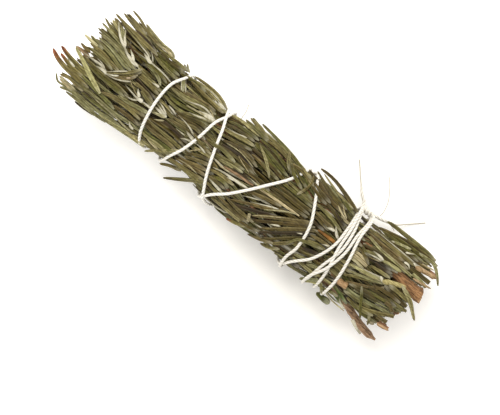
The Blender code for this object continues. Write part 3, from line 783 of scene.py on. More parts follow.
d 1.3 32 2.2 28.5 2.6 26.2 3
k 1.2 31 1.2 28 1.3 26.8 1.8
c 1.1 36.4 7.9 34.6 8 32.6 8.6
c 0.55 34.4 8.3 32 9.2 29.8 10.4
c 0.45 34.6 8.7 32.8 9.8 31 11.4
k 0.9 36 6.8 33 7.3 30 8.2
t@ 1.2 37 0.4 33 0.4 29.4 0.2
e 0.6 36 -0.7 31 -0.7 27.6 -1
p 0.8 33.9 3.2 32.7 3 31.1 2.4
p 0.9 36.4 1.9 34.8 3 33.3 4.7
e 1.3 36 -1.8 32 -1.9 28.6 -2.2
p 0.5 35.6 -1.6 33.4 -2.5
p 0.45 26.4 -3.9 24.8 -4.7
o 1.3 36.5 -3.6 32.5 -3.6 29 -4.4
k 1.4 36 -5.6 32.5 -6.6 29 -7.4
d 1.3 34.5 -7 31.5 -8 28.6 -8.6
l 1.3 34 -9.2 31.5 -9.8 28.4 -10.4
l 1.2 38 -11.8 33 -11.9 28.6 -11.8
k 1.6 32.4 -12.8 29 -13.4
l 1.3 41 -9.2 37 -9.7 33.5 -10.6
l 1.5 40.2 -12.3 37.5 -13.9 34.9 -15.7
y 1.2 41.6 -12.6 38.7 -13.9 36 -15.9
o 1.2 42.8 8.6 39 8.8 36 9.6
o 1.2 43 6.8 39 7 35.5 6.2
e 1.2 43.5 4.8 39 5.2 36 4.9
o 1.2 44 3.2 40 3.3 36.5 3.4
l 1.2 45 -2.4 41 -2.3 36.5 -2.2
o 1.2 45.5 -4 41 -4.1 37 -4
o 1.2 45.5 -5.6 41 -5.5 37 -6
o 1.2 44.8 -7.4 41 -7.2 36.5 -8
y 1.2 41 -10.8 38 -11.2
G 1.2 64.2 14.2 58 14.4 52 14.1 46 13
d 1.7 66.4 14.9 60 15.3 54 15.1 49 14.2 44.3 13.3
g 1.6 65.6 16 60 16.3 52 16.4 48 16.3 45.7 15.9
G 1.2 62 13.2 57 12.6 51 12.6 46 12.3
o 1.3 60.5 10.4 54 10.4 48 10.6 42.5 10.6
e 1.2 57 9.4 51 9.2 46 9.3 43 9.6
d 1.2 60 12.1 55 11.9 50 11.7
p 0.35 60 11.2 54 11.4 48 11.5 42.8 11.8
y 0.9 57 13.9 53.4 13 50 12
p 0.5 50.3 12 53 13 56.4 13.6
p 0.6 56.2 12 57.6 12.7 59 13.4
l 1.2 60 14.7 64 15 66.3 14.8 68.4 12.7 70.8 9.6
c 0.6 67 13.2 64.9 12.8 62.8 12.5
d= 1.5 60.4 9 64 9.1 68.2 9
l= 1.3 62 7.9 65 7.8 68 7.2
b@ 0.8 63 6.9 67 7.4 69.4 7.8
b@ 1.7 61.4 10.3 65 10.9 69.1 11.6
p 0.8 57.6 9.3 59.2 9.4 60.3 8.5
p 0.6 60.2 11 61.7 10.3
e 1.2 60 8.2 55 8.3 49 8.7
d 1.3 58.5 6.7 53 6.8 47.5 6.6 43.5 5.8
k 1.2 56 4.6 50 3.8 46.5 3
y= 0.9 62 7.1 55 7.4 49 7.7 43.5 8.8
c 0.3 62 7.5 55 7.8 49 8.1 44 9.1
y@ 1.2 58.5 6.1 54.5 5.8 51.4 5.3
o 1.2 51 5.3 48.5 5.2 45.6 4.7
p 0.8 51.8 5.5 49.8 5.9 47.6 5.9
p 0.45 51.6 5 49 4.7 45.6 3.9
e 0.45 51.4 4.6 49.6 3.8 47.8 3.5
o 1.3 57 2.3 53 2 49.6 1.7
k 1.2 57 3.9 53.5 3.3 50.2 3.1
c= 1.1 42.8 2.2 45.6 2.3 48.4 1.8
c= 1.1 43 -0.1 46 -0.2 48.4 -0.6
c= 1.4 48.9 0.7 46 1 43 1
d 1.0 48.6 1.8 46.6 3.1 43.2 4
y 1.3 55.6 0.5 52 -0.5 48 -1.4 44 -2
o 1.2 55.6 -0.7 52 -2.3 48 -4.2 44.8 -6.3
l 1.0 56 -0.4 52.6 -1.6 48.5 -3 45.2 -3.8
p 0.35 55.4 1.1 52 0.1 48 -0.7 44.2 -1.3
c 0.3 55.6 -0.1 52 -1.2 48 -2.1
e 1.1 56.8 -0.6 56 -2.1 54 -3.6 50.5 -5.1 46.3 -6.9
y@ 1.9 55.6 0.2 57.8 1.1 60 2.1 62.8 3.2
p 0.8 54.3 1 55.4 0.2 56.6 -0.3
d 1.6 57.5 -0.5 62 -0.9 66.8 -1.7
o 1.5 58 0.5 62.5 0.3 67 0
l 1.5 61.6 2.7 65 1.2 67.8 -0.7 69.6 -2.2 71.4 -3.6
o= 0.9 61 -2.9 64.5 -2.9 67.8 -2.8
d 1.3 64 -1.9 59.5 -2 54 -2.6
d 1.3 63 -3.6 58 -3.3 53 -3.9
G 1.2 50.5 -7.6 54 -6.4 58 -4.9 62 -3.6
G 1.2 51 -6.4 56 -5 60.5 -4.3
d 1.2 49 -7 54 -5.6 58 -5.9
d 1.2 60 -5.6 55 -6.8 50 -7.4
l 1.5 47.2 -8.5 52 -8.4 57 -7.5 61 -6.4 64 -5.8
l 0.35 56 -7 60 -6 63.6 -5.4
o= 1.4 55 -10.8 60 -9.2 63.5 -7.5 65.8 -6.4
o 1.3 48 -9.8 53 -9.6 58 -9
o 1.3 60 -10.4 55 -11 50 -10.8
G 1.3 62 -11.6 57 -12 52 -11.6
e= 1.4 61.4 -9.8 65.1 -9.3
e= 1.3 60.5 -4.5 62.5 -4.6 64.2 -5.6
b@ 1.2 63 -11.6 67.1 -11
e 1.0 62.2 -12.4 60 -13.2
o 1.0 58.8 -10.6 60.2 -12.4 61 -13.8
G^ 1.0 51.5 -5.3 53.3 -7.6 55.3 -10.6 57.9 -13.9
l 1.2 47 -11.2 43 -11 39 -11.4
B 1.3 51.4 -12.7 48 -11.6 44.8 -10.9
B 1.1 50.6 -13.7 47.3 -12.9 44 -12.4
g 1.1 48 -12.5 45 -13.2 42.6 -13.4
p 0.6 52 -14.3 50 -13.7 48.6 -12.7
c 0.5 52.4 -15 47.5 -14.8 44 -14.1
o 1.3 44.2 -15 42.4 -14 41 -12.8
B 2.1 47.3 -15.9 44.6 -16.1 42.1 -15.8
b=@ 2.2 44.8 -8.4 46.5 -8.4 48 -8.2
p= 1.1 56.4 -15.6 59 -16.9 61.6 -17.6
o^ 1.0 -12 -2 -15 -1.7 -18 -1 -20.6 -0.3
o^ 1.4 -4.5 0.7 -8 1.2 -10.5 1.5 -13 1 -16.5 1
o^ 1.3 20 10.2 16.5 11.5 13.5 11.9 10 11.8
G^ 1.2 19 8.3 16 9.4 13 10.6 10.4 11.2
G^ 1.2 17.5 7.2 14.6 8.4 12 9.8 9.9 11.6
o^ 1.1 18 11.8 15.5 12.2 13.5 12.9
d^ 1.2 26.6 8.2 23.4 8.9 19.4 10.1
d^ 1.2 27.4 9.4 23.6 10.1 19.3 11.5
o^ 1.0 17.3 5 18.2 7.2 18.7 9.2 18.6 11.2 17.8 13
o^ 1.1 34.6 -3.7 31 -4.6 28.2 -5.4 26.2 -6.2 25.1 -8 24.3 -9.7
"""

LEAF_POINTS = 12  # along each leaf's middle while the leaves are pressed together
LEAF_LENGTH, LEAF_HALF_WIDTH, LEAF_THICKNESS = (14.0, 22.0), 0.66, 0.5
BARE_BUTT = 1.5  # from the cut end to the first pair of leaves
AT_TIP, AT_BUTT = 9, 11  # leaves in the tuft at each tip, and left on each cut end
CUT_LEAVES_X, CUT_LEAVES_FAR_X, CUT_LEAVES_RUN = 67.8, 64.6, 3.2  # the far ones are at -y
OPENS, OPENING_FADES = (28, 48), 5.0  # degrees from the stem, and the length in which that fades
TRIM_X, TRIM_BEND, TRIM_RAGGED = -65.6, 0.011, 1.6  # where the leafy end was trimmed, and how
TOP_ROOM = 1.0  # left free under the bundle's outline on top for the topmost leaves
SPRIG, BASE_X, BEARING, SIZE, CUT = range(5)  # the columns of grow_leaves
along = np.linspace(0.0, 1.0, LEAF_POINTS)


def grow_leaves():
    """Every leaf's own numbers: its sprig, the x where it starts, its bearing round the stem, its
    size, and 1 if its base is cut off with the stems."""
    # A pair, up to two smaller leaves in its axils, and the next pair a quarter turn round; then
    # the tuft at the tip, and the leaves that were cut with the stem.
    rows = []
    for i in range(SPRIGS):
        last = LEAFY_ENDS[i] + BARE_TIP
        x = STEM_ENDS[i][0] - BARE_BUTT
        bearing = rng.uniform(0, 360)
        while x > last:
            for side in (0.0, 180.0):
                rows.append((i, x + rng.normal(0, 0.3), bearing + side + rng.normal(0, 12), 1.0, 0))
            for _ in range(rng.integers(0, 3)):
                rows.append((i, x + rng.normal(-0.5, 0.5), bearing + rng.choice((0.0, 180.0))
                             + rng.normal(0, 35), rng.uniform(0.5, 0.85), 0))
            bearing += 90.0 + rng.normal(0, 8)
            x -= NODE_PITCH * rng.uniform(0.75, 1.25)
        for _ in range(AT_TIP):
            rows.append((i, last + rng.uniform(-1.0, 4.0), rng.uniform(0, 360),
                         rng.uniform(0.6, 0.9), 0))
        near = LANES[i][0] * math.cos(math.radians(LANES[i][1])) > -1.0
        cut_end = CUT_LEAVES_X if near else CUT_LEAVES_FAR_X
        for _ in range(AT_BUTT):
            rows.append((i, cut_end - rng.uniform(0, CUT_LEAVES_RUN), rng.uniform(0, 360),
                         rng.uniform(0.5, 1.0), 1))
    return np.array(rows)


def first_middles(leaves, length):
    """The middle line of each leaf before pressing. It leaves the stem at its opening angle,
    which fades with distance, so that it soon lies nearly along the stem. Those that would pass
    the trimmed end are drawn back to it."""
    number = len(leaves)
    cut = leaves[:, CUT, None] > 0
    straight, open_wide = rng.normal(0, 4, (number, 1)), rng.uniform(*OPENS, (number, 1))
    opening = np.radians(np.where(cut, straight, open_wide))
    rest = np.radians(rng.normal(2.5, 3.0, number))[:, None]
    angle = opening * np.exp(-length[:, None] * along / OPENING_FADES) + rest
    step = length[:, None] / (LEAF_POINTS - 1)
    ahead = np.cumsum(np.cos(angle) * step, axis=1) - np.cos(angle[:, :1]) * step
    aside = np.cumsum(np.sin(angle) * step, axis=1) - np.sin(angle[:, :1]) * step
    aside = aside + np.where(cut, rng.uniform(0.5, 3.5, (number, 1)), 0.0)
    x = leaves[:, BASE_X, None] - ahead
    bearing = np.radians(leaves[:, BEARING, None]) + np.radians(rng.normal(0, 8, (number, 1))) * along
    middle = np.empty(x.shape + (3,))
    for i in range(SPRIGS):
        mine = leaves[:, SPRIG] == i
        held = stem_line(i, x[mine])
        reach = aside[mine] + 0.8 * stem_radius(i, x[mine])
        held[..., 1] += reach * np.cos(bearing[mine])
        held[..., 2] += reach * np.sin(bearing[mine])
        middle[mine] = held
    end = TRIM_X + TRIM_BEND * middle[:, -1, 1] ** 2 + rng.exponential(TRIM_RAGGED, number)
    base = middle[:, :1, 0]
    shrink = np.clip((base[:, 0] - end) / (base[:, 0] - middle[:, -1, 0]), 0.2, 1.0)
    middle[..., 0] = base + (middle[..., 0] - base) * shrink[:, None]
    return middle


SLICE, NEAR = 1.7, 1.9  # points closer than NEAR, in one slice across the bundle, may touch
SLICES_FROM = -90.0
ROUNDS, ROUNDS_A_SEARCH = 48, 6
SPACE_ACROSS, SPACE_THROUGH = 1.2, 0.66  # room that a leaf takes beside and over its neighbour
TIPS_OUT = 0.45  # how much a tip rides over a base, in units of that room
HALF_PUSHED, EASED_BY_MEETING = 0.5, 0.6  # each leaf of a pair goes half the way, or less
STEM_ROOM, STEM_PUSH = 0.35, 0.7
STIFFNESS = 0.35  # how much of its bending a leaf gives back each round
HELD, HELD_PULL = 0.25, 0.3  # the share of a leaf that its stem holds, and how far that gives
ON_TOP_FROM, ON_TOP_RUN = 0.2, 0.35  # shares of the half height, where the top of the bundle is
SKIN_ROOM = 0.35  # from a leaf's middle to its outer side
SUNK, SUNK_ON_TOP = 0.5, 0.7  # how far the string presses leaves in, at the sides and on top
LEAST_HEIGHT = 0.58  # of a leaf's middle over the surface
STRING_REACH = 2.2  # how far to each side the string's pressure is felt


def near_pairs(points, shift):
    """Pairs of points of different leaves that lie in the same slice of the bundle and within
    reach of each other, found slice by slice."""
    slices = np.floor((points[:, :, 0].ravel() - SLICES_FROM) / SLICE + shift).astype(int)
    flat = points.reshape(-1, 3)
    leaf = np.repeat(np.arange(len(points)), points.shape[1])
    order = np.argsort(slices, kind="stable")
    edges = np.searchsorted(slices[order], np.arange(slices.max() + 2))
    first, second = [], []
    for a, b in zip(edges[:-1], edges[1:]):
        mine = order[a:b]
        yz = flat[mine, 1:].astype(np.float32)
        close = np.abs(yz[:, None] - yz[None]).max(axis=2) < NEAR
        close &= leaf[mine][:, None] < leaf[mine][None]
        i, j = np.nonzero(close)
        first.append(mine[i])
        second.append(mine[j])
    return np.concatenate(first), np.concatenate(second)


def eased(values):
    """Each value averaged with its neighbours along the leaf, a quarter, a half and a quarter."""
    padded = np.concatenate([values[:, :1], values, values[:, -1:]], axis=1)
    return 0.25 * padded[:, :-2] + 0.5 * padded[:, 1:-1] + 0.25 * padded[:, 2:]


def press(middle, proud):
    """Presses the leaves into the bundle. Each round moves touching leaves apart, the one nearer
    its tip outwards, keeps them out of the stems and off the surface, and pulls in whatever
    stands out of the bundle or under the string. Leaves bend smoothly and keep their bases."""
    points = middle.copy()
    started = middle[..., 1:].copy()
    hold = np.broadcast_to(smooth_step(along / HELD)[None, :], points.shape[:2])
    tipward = np.broadcast_to(along, hold.shape).ravel()
    stems = np.stack([stem_line(i, points[..., 0]) for i in range(SPRIGS)])
    girths = np.stack([stem_radius(i, points[..., 0]) * (points[..., 0] < STEM_ENDS[i][0])
                       for i in range(SPRIGS)])
    for turn in range(ROUNDS):
        if turn % ROUNDS_A_SEARCH == 0:
            i, j = near_pairs(points, 0.5 * ((turn // ROUNDS_A_SEARCH) % 2))
        out = outwards(points)[..., 1:].reshape(-1, 2)
        flat = points[..., 1:].reshape(-1, 2)
        apart = flat[j] - flat[i]
        normal = out[i] + out[j]
        normal /= np.linalg.norm(normal, axis=1, keepdims=True) + 1e-9
        across = np.stack([-normal[:, 1], normal[:, 0]], axis=1)
        u = (apart * across).sum(axis=1) / SPACE_ACROSS
        v = (apart * normal).sum(axis=1) / SPACE_THROUGH + TIPS_OUT * (tipward[j] - tipward[i])
        distance = np.sqrt(u * u + v * v) + 1e-6
        short = np.clip(1.0 - distance, 0.0, 1.0)
        push = (u[:, None] * across * SPACE_ACROSS + v[:, None] * normal * SPACE_THROUGH)
        push *= (HALF_PUSHED * short / distance)[:, None]
        moved = np.zeros_like(flat)
        for k in range(2):
            moved[:, k] = np.bincount(j, push[:, k], len(flat)) - np.bincount(i, push[:, k], len(flat))
        met = np.bincount(i, short > 0, len(flat)) + np.bincount(j, short > 0, len(flat))
        moved /= np.maximum(1.0, EASED_BY_MEETING * met)[:, None]
        moved = moved.reshape(points.shape[:2] + (2,))
        gap = points[None, ..., 1:] - stems[..., 1:]
        away = np.linalg.norm(gap, axis=-1) + 1e-6
        inside = np.clip(girths + STEM_ROOM - away, 0.0, None) * (girths > 0)
        moved += STEM_PUSH * (gap * (inside / away)[..., None]).sum(axis=0)
        moved = eased(moved) * hold[..., None]
        points[..., 1:] += moved
        bent = points[..., 1:] - started
        points[..., 1:] += STIFFNESS * (eased(bent) - bent) * hold[..., None]
        wide, tall, y, z = section_of(points)
        on_top = smooth_step((z / tall - ON_TOP_FROM) / ON_TOP_RUN) * (z > 0)
        pressed = np.exp(-((to_string(points) / STRING_REACH) ** 2))
        room = (proud - SUNK * pressed) * (1 - on_top)
        room = room - (TOP_ROOM + SUNK_ON_TOP * pressed) * on_top - SKIN_ROOM
        level = np.sqrt((y / (wide + room)) ** 2 + (z / (tall + room)) ** 2)
        pull = np.where(level > 1.0, (1.0 / level - 1.0) * np.maximum(hold, HELD_PULL), 0.0)
        points[..., 1] += y * pull
        points[..., 2] += z * pull
        points[..., 2] = np.maximum(points[..., 2], LEAST_HEIGHT)
    return points


leaves = grow_leaves()
count = len(leaves)
length = rng.uniform(*LEAF_LENGTH, count) * leaves[:, SIZE]
# One in ten stands proud of the bundle at its tip.
proud = np.where(rng.random(count) < 0.1, rng.uniform(0.5, 1.6, count), 0.0)[:, None] * along**2
middle = press(first_middles(leaves, length), proud)

# The thickest stem is bare on top at its cut end, and the twig hangs clear below.
THICKEST_BARE_FROM, THICKEST_BARE_WIDTH, TWIG_BARE_FROM, TWIG_BARE_BELOW = 58.5, 2.7, 52.0, -12.4
thick = stem_line(THICKEST, middle[..., 0])
over_thick = (middle[..., 0] > THICKEST_BARE_FROM) & (middle[..., 2] > thick[..., 2])
over_thick &= abs(middle[..., 1] - thick[..., 1]) < THICKEST_BARE_WIDTH
over_twig = (middle[..., 0] > TWIG_BARE_FROM) & (middle[..., 1] < TWIG_BARE_BELOW)
kept = ~(over_thick | over_twig).any(axis=1)
leaves, length, middle = leaves[kept], length[kept], middle[kept]
count = len(leaves)

# The topmost leaves rest on a map of heights, which rises as each is laid.
CELL, MAP_X, MAP_Y = 0.25, 76.0, 22.0
CEILING, CEILING_SUNK = 0.6, 1.1  # over the outline, and how much lower under the string
map_x, map_y = np.meshgrid(np.arange(-MAP_X, MAP_X, CELL), np.arange(-MAP_Y, MAP_Y, CELL),
                           indexing="ij")


def top_of_bundle(x, y):
    """The height of the bundle's outline: half of an oval across it, and level beyond its sides."""
    wide = half_width(x)
    across = (y - DRIFT * x) / (wide + 1.0)
    return AXIS_Z + RISE * wide * np.sqrt(np.clip(1.0 - across**2, 0.03, 1.0))


def map_cell(x, y):
    """The row and column of the map that hold this place."""
    return (np.clip(((x + MAP_X) / CELL).astype(int), 0, map_x.shape[0] - 1),
            np.clip(((y + MAP_Y) / CELL).astype(int), 0, map_x.shape[1] - 1))


outline = top_of_bundle(map_x, map_y)
pressed = np.exp(-((to_string(np.stack([map_x, map_y, outline], axis=-1)) / STRING_REACH) ** 2))
heights = outline - TOP_ROOM - SUNK_ON_TOP * pressed
ceiling = outline + CEILING - CEILING_SUNK * pressed
over_string = heights.copy()
upper = string_path[:, 2] > AXIS_Z + 1.0
across_string = np.linspace(-0.45, 0.45, 5)
for aside in across_string:
    for ahead in across_string:
        cell = map_cell(string_path[upper, 0] + ahead, string_path[upper, 1] + aside)
        np.maximum.at(over_string, cell, string_path[upper, 2] + STRING_DIAMETER / 2)


RESTS_ON, RAISES = (-0.35, 0.0, 0.35), np.linspace(-0.5, 0.5, 7)  # places across a leaf's width


def lay(path, width, thick, over):
    """Lays one leaf along a path seen from above. It rests on the highest thing under each part
    of it, bends smoothly from one to the next, and stays under the string unless it is over it.
    The map then rises by the leaf."""
    tangent = unit(np.gradient(path, axis=0))
    aside = np.stack([-tangent[:, 1], tangent[:, 0]], axis=1)
    under = np.stack([heights[map_cell(*(path + t * width * aside).T)] for t in RESTS_ON])
    under = 0.5 * (under.mean(axis=0) + under.max(axis=0))
    # The highest of nine points along, and then the average of eleven, weighted to the middle.
    padded = np.pad(under, 4, mode="edge")
    highest = np.max([padded[k : k + len(under)] for k in range(9)], axis=0)
    window = np.hanning(13)[1:-1]
    z = np.convolve(np.pad(highest, 5, mode="edge"), window / window.sum(), mode="valid") + thick / 2
    if not over:
        z = np.minimum(z, ceiling[map_cell(*path.T)])
    for t in RAISES:
        cell = map_cell(*(path + t * width * aside).T)
        np.maximum.at(heights, cell, z + 0.4 * thick * (1 - (1.6 * t) ** 2))
    return np.column_stack([path, z])


TOP_POINTS = 14
TOP_CURVE_POINTS, TOP_STEP = 200, 0.3
LOOSE_KINDS = ("o", "d", "k", "l", "g", "G", "e")  # plain leaves, each free to shift a little
LOOSE_TURN, LOOSE_BEND, LOOSE_BASE = 0.022, 0.16, (-0.12, 0.04)


def loosened(path):
    """The path turned by a degree or two about its base, bent a little to one side, and begun a
    little sooner or later."""
    share = np.linspace(0, 1, len(path))[:, None]
    chord = path[-1] - path[0]
    aside = np.array((-chord[1], chord[0])) / np.hypot(*chord)
    turn, bend = rng.normal(0, LOOSE_TURN) * np.hypot(*chord), rng.normal(0, LOOSE_BEND)
    late = rng.uniform(*LOOSE_BASE)
    return path + aside * (turn * share + bend * np.sin(np.pi * share)) + chord * late * (1 - share)


top_rows = [row.split() for row in TOPMOST.strip().splitlines()]
top_rows.sort(key=lambda row: "^" in row[0])
top_middle, top_length = [], []
for number, row in enumerate(top_rows):
    over = "^" in row[0]
    if over and "^" not in top_rows[number - 1][0]:
        np.maximum(heights, over_string, out=heights)
    path = smooth_curve(np.array(row[2:], float).reshape(-1, 2), TOP_CURVE_POINTS)
    if row[0] in LOOSE_KINDS:
        path = loosened(path)
    laid, at = evenly(path, TOP_STEP)
    laid = lay(laid, float(row[1]), LEAF_THICKNESS * (2 if "@" in row[0] else 1), over)
    share = np.linspace(0, at[-1], TOP_POINTS)
    top_middle.append(np.stack([np.interp(share, at, column) for column in laid.T], axis=1))
    top_length.append(at[-1])
top_middle = np.array(top_middle)

# A leaf's section, in half widths and thicknesses: its edges rolled under and a groove along its
# top. A bit of stem is round. Then, for the same eight points: how much felt shows, its trace on
# the ridges a painted highlight, and a painted shade: the ridges lighter, the groove and edges darker.
SECTION = np.array([(-1.0, -0.2), (-0.62, 0.42), (0.0, 0.14), (0.62, 0.42),
                    (1.0, -0.2), (0.62, -0.55), (0.0, -0.2), (-0.62, -0.55)])
ROUND_SECTION = np.array([(-1.0, 0.0), (-0.7, 0.7), (0.0, 1.0), (0.7, 0.7),
                          (1.0, 0.0), (0.7, -0.7), (0.0, -1.0), (-0.7, -0.7)])
# The trace of felt on the two ridges is a painted highlight.
FELT = np.array([0.1, 0.02, 0.0, 0.02, 0.1, 0.5, 1.0, 0.5])
# Painted highlight on the two ridges, painted shade in the groove and at the edges.
SECTION_PAINTED_SHADE = np.array([0.8, 1.25, 0.6, 1.25, 0.8, 0.9, 1.0, 0.9])
# Where along the leaf its rings of points lie, as shares of its length.
RINGS = np.array([0.0, 0.05, 0.16, 0.36, 0.58, 0.78, 0.92, 0.985])
TOP_RINGS = np.array([0.0, 0.03, 0.09, 0.18, 0.28, 0.38, 0.48, 0.58, 0.68, 0.78, 0.86, 0.93, 0.985])
BASE_FELT_FROM, BASE_FELT_RUN = 0.6, 2.4  # where the felt at a leaf's base starts to fade
BASE_PAST, TIP_PAST, CUT_PAST = 0.12, 0.25, 0.02  # from the last ring to the point at each end
FELTED = 0.5  # a leaf with more felt than this tapers from its base
EDGE_WAVE, EDGE_WAVES = 0.06, 9.0  # a share of the width, and in radians along the leaf


def at_rings(values, rings):
    """Reads values along each leaf at the rings, with a straight line between its points."""
    place = rings * (values.shape[1] - 1)
    i = np.minimum(place.astype(int), values.shape[1] - 2)
    f = (place - i)[None, :, None]
    return values[:, i] * (1 - f) + values[:, i + 1] * f


def width_shares(s, base_cut, tip_cut):
    """Half the width at the base, full by a seventh of the length, narrowing by a third from
    the middle on, and rounding off over the last seventh; a cut end keeps its full width."""
    base = np.where(base_cut[:, None], 1.0, 0.5 + 0.5 * smooth_step(s / 0.15))
    rounding = np.sqrt(1.0 - np.clip((s - 0.86) / 0.142, 0, 1) ** 2.2)
    narrowing = 1.03 - 0.33 * smooth_step((s - 0.4) / 0.6)
    return base * np.where(tip_cut[:, None], 1.0, rounding * narrowing)


def leaf_points(line, up, s, leaf):
    """The section carried along each leaf's middle line, its upper side towards up, rolled about
    the line, and a point past each end. The width wavers, and a felted leaf tapers from its base."""
    tangent = unit(np.gradient(line, axis=1))
    up = up - (up * tangent).sum(axis=2, keepdims=True) * tangent
    up /= np.linalg.norm(up, axis=2, keepdims=True) + 1e-9
    side = np.cross(tangent, up)
    turn = (leaf["roll"][:, None] + leaf["twist"][:, None] * s)[..., None]
    turned_side = np.cos(turn) * side + np.sin(turn) * up
    turned_up = -np.sin(turn) * side + np.cos(turn) * up
    shares = width_shares(s, leaf["base_cut"], leaf["tip_cut"])
    shares = np.where(leaf["felt"][:, None] > FELTED, shares * (1.3 - 0.6 * s), shares)
    shares = shares * (1 + EDGE_WAVE * np.sin(EDGE_WAVES * s + leaf["phase"][:, None]))
    half = (leaf["half"][:, None] * shares)[..., None, None]
    thick = (leaf["thick"][:, None] * np.sqrt(shares))[..., None, None]
    section = np.where(leaf["round"][:, None, None], ROUND_SECTION, SECTION)[:, None]
    points = line[:, :, None] + half * section[..., :1] * turned_side[:, :, None]
    points = points + thick * section[..., 1:] * turned_up[:, :, None]
    base_past = np.where(leaf["base_cut"], CUT_PAST, BASE_PAST)[:, None]
    tip_past = np.where(leaf["tip_cut"], CUT_PAST, TIP_PAST)[:, None]
    ends = (line[:, 0] - base_past * tangent[:, 0], line[:, -1] + tip_past * tangent[:, -1])
    return np.concatenate([points.reshape(len(line), -1, 3), np.stack(ends, axis=1)], axis=1)


def leaf_colours(s, leaf):
    """Each point's colour, its own darker to the tip and with painted shade and highlight round the
    section, and how much felt shows there: by its place round the section, near the base, and on
    leaves that lie with their pale side up."""
    towards = smooth_step((s - 0.62) / 0.34)[None, :, None] * leaf["tipness"][:, None, None]
    tint = leaf["tint"][:, None] * (1 - towards) + leaf["tip"][:, None] * towards
    fading = 1 - 0.6 * smooth_step((s - 0.45) / 0.5)[None, :] * (leaf["felt"] > FELTED)[:, None]
    felt = np.maximum(FELT[None, None] * (~leaf["round"])[:, None, None],
                      (leaf["felt"][:, None] * fading)[..., None])
    from_base = s[None] * leaf["length"][:, None]
    near_base = 1 - smooth_step((from_base - BASE_FELT_FROM) / BASE_FELT_RUN)
    felt = np.maximum(felt, (near_base * leaf["base_felt"][:, None])[..., None])
    painted_section_shade = np.where(leaf["round"][:, None], 1.0, SECTION_PAINTED_SHADE)
    tint = (tint[:, :, None] * painted_section_shade[:, None, :, None]).reshape(len(tint), -1, 3)
    felt = felt.reshape(len(tint), -1)
    return tuple(np.concatenate([each, each[:, [0, -1]]], axis=1) for each in (tint, felt))


def leaf_faces(number, rings, first=0):
    """Eight quads round each step of each leaf, and a fan over both its ends. first is the number
    of the first leaf's first point."""
    around = len(SECTION)
    ring, last = np.arange(around), (rings - 1) * around
    after = (ring + 1) % around
    low = np.stack([after, ring, np.full(around, last + around)], axis=1)
    high = np.stack([last + ring, last + after, np.full(around, last + around + 1)], axis=1)
    start = first + (np.arange(number) * (last + around + 2))[:, None, None]
    quads = (grid_faces(rings, around)[None] + start).reshape(-1, 4)
    fans = (np.concatenate([low, high])[None] + start).reshape(-1, 3)
    return quads.tolist() + fans.tolist()


def palette(kinds):
    """The colour of each kind in turn."""
    return np.array([linear(LEAF_KINDS[kind][0])[:3] for kind in kinds])


WARMTH, WARMER = 0.03, (1.0, -0.4, -1.0)  # more red, and less green and blue


def varied(colours, spread):
    """Each leaf a little lighter or darker than its kind, and a little more yellow or green."""
    number = len(colours)
    light = np.exp(rng.normal(0, spread, (number, 1)))
    warm = rng.normal(0, WARMTH, (number, 1)) * WARMER
    return np.clip(colours * light * (1 + warm), 0, 1)


# Each pressed leaf lies a little rolled and twisted, one in twelve of them face down, and one in
# five has a brown tip.
never = np.zeros(count, bool)
common = rng.choice(len(COMMON_KINDS), count, p=COMMON_SHARES)
pressed_leaves = {
    "roll": np.radians(rng.normal(0, 22, count)) + np.where(rng.random(count) < 0.08, np.pi, 0.0),
    "twist": np.radians(rng.normal(0, 30, count)), "phase": rng.uniform(0, 6.28, count),
    "half": LEAF_HALF_WIDTH * rng.uniform(0.75, 1.1, count) * np.where(leaves[:, SIZE] < 1, 0.85, 1.0),
    "thick": np.full(count, LEAF_THICKNESS), "round": never, "base_cut": leaves[:, CUT] > 0,
    "tip_cut": never, "length": length,
    "base_felt": np.where(rng.random(count) < 0.45, 0.8, 0.3) * (leaves[:, CUT] == 0),
    "tint": varied(palette([COMMON_KINDS[k] for k in common]), 0.15),
    "tip": np.tile(linear(BROWN_TIP)[:3], (count, 1)),
    "tipness": np.where(rng.random(count) < 0.2, rng.uniform(0.3, 0.9, count), 0.1),
}
# The topmost leaves are what their rows say, and nearly flat.
kinds = [row[0][0] for row in top_rows]
flags = [row[0][1:] for row in top_rows]
top_count = len(top_rows)
round_bit = np.array(["@" in flag for flag in flags])
cut = np.array(["=" in flag for flag in flags])
widths = np.array([float(row[1]) for row in top_rows])
felt = np.array([LEAF_KINDS[kind][1] for kind in kinds]) * np.clip(0.45 + 0.6 * widths, 0.0, 1.0)
laid_leaves = {
    "roll": np.radians(rng.normal(0, 12, top_count)), "twist": np.radians(rng.normal(0, 12, top_count)),
    "phase": rng.uniform(0, 6.28, top_count), "half": widths / 2,
    "thick": np.where(round_bit, widths / 2.4, LEAF_THICKNESS * np.clip(widths / 1.2, 0.5, 1.2)),
    "round": round_bit, "base_cut": cut, "tip_cut": cut, "length": np.array(top_length), "felt": felt,
    "base_felt": np.where(cut | round_bit | (felt > FELTED), 0.0, 0.25),
    "tint": varied(palette(kinds), 0.08),
    "tip": np.array([linear(RED_TIP if kind == "r" else BROWN_TIP)[:3] for kind in kinds]),
    "tipness": np.where(np.array(kinds) == "r", 1.0, np.where(widths > 0.8, 0.2, 0.0)),
}
# On the sides and below, half of the small leaves in the axils lie with their pale side out, and
# are narrower.
outer = (middle[:, -1, 2] < AXIS_Z + 2.0) & (leaves[:, SIZE] < 1) & (leaves[:, CUT] == 0)
pressed_leaves["felt"] = np.where(outer & (rng.random(count) < 0.5), rng.uniform(0.55, 0.9, count), 0.0)
pressed_leaves["half"] *= np.where(pressed_leaves["felt"] > 0, 0.65, 1.0)


LEAF_WRINKLES, LEAF_BLOTCHES = 3.2, 0.42  # to a millimetre, as leaves dry


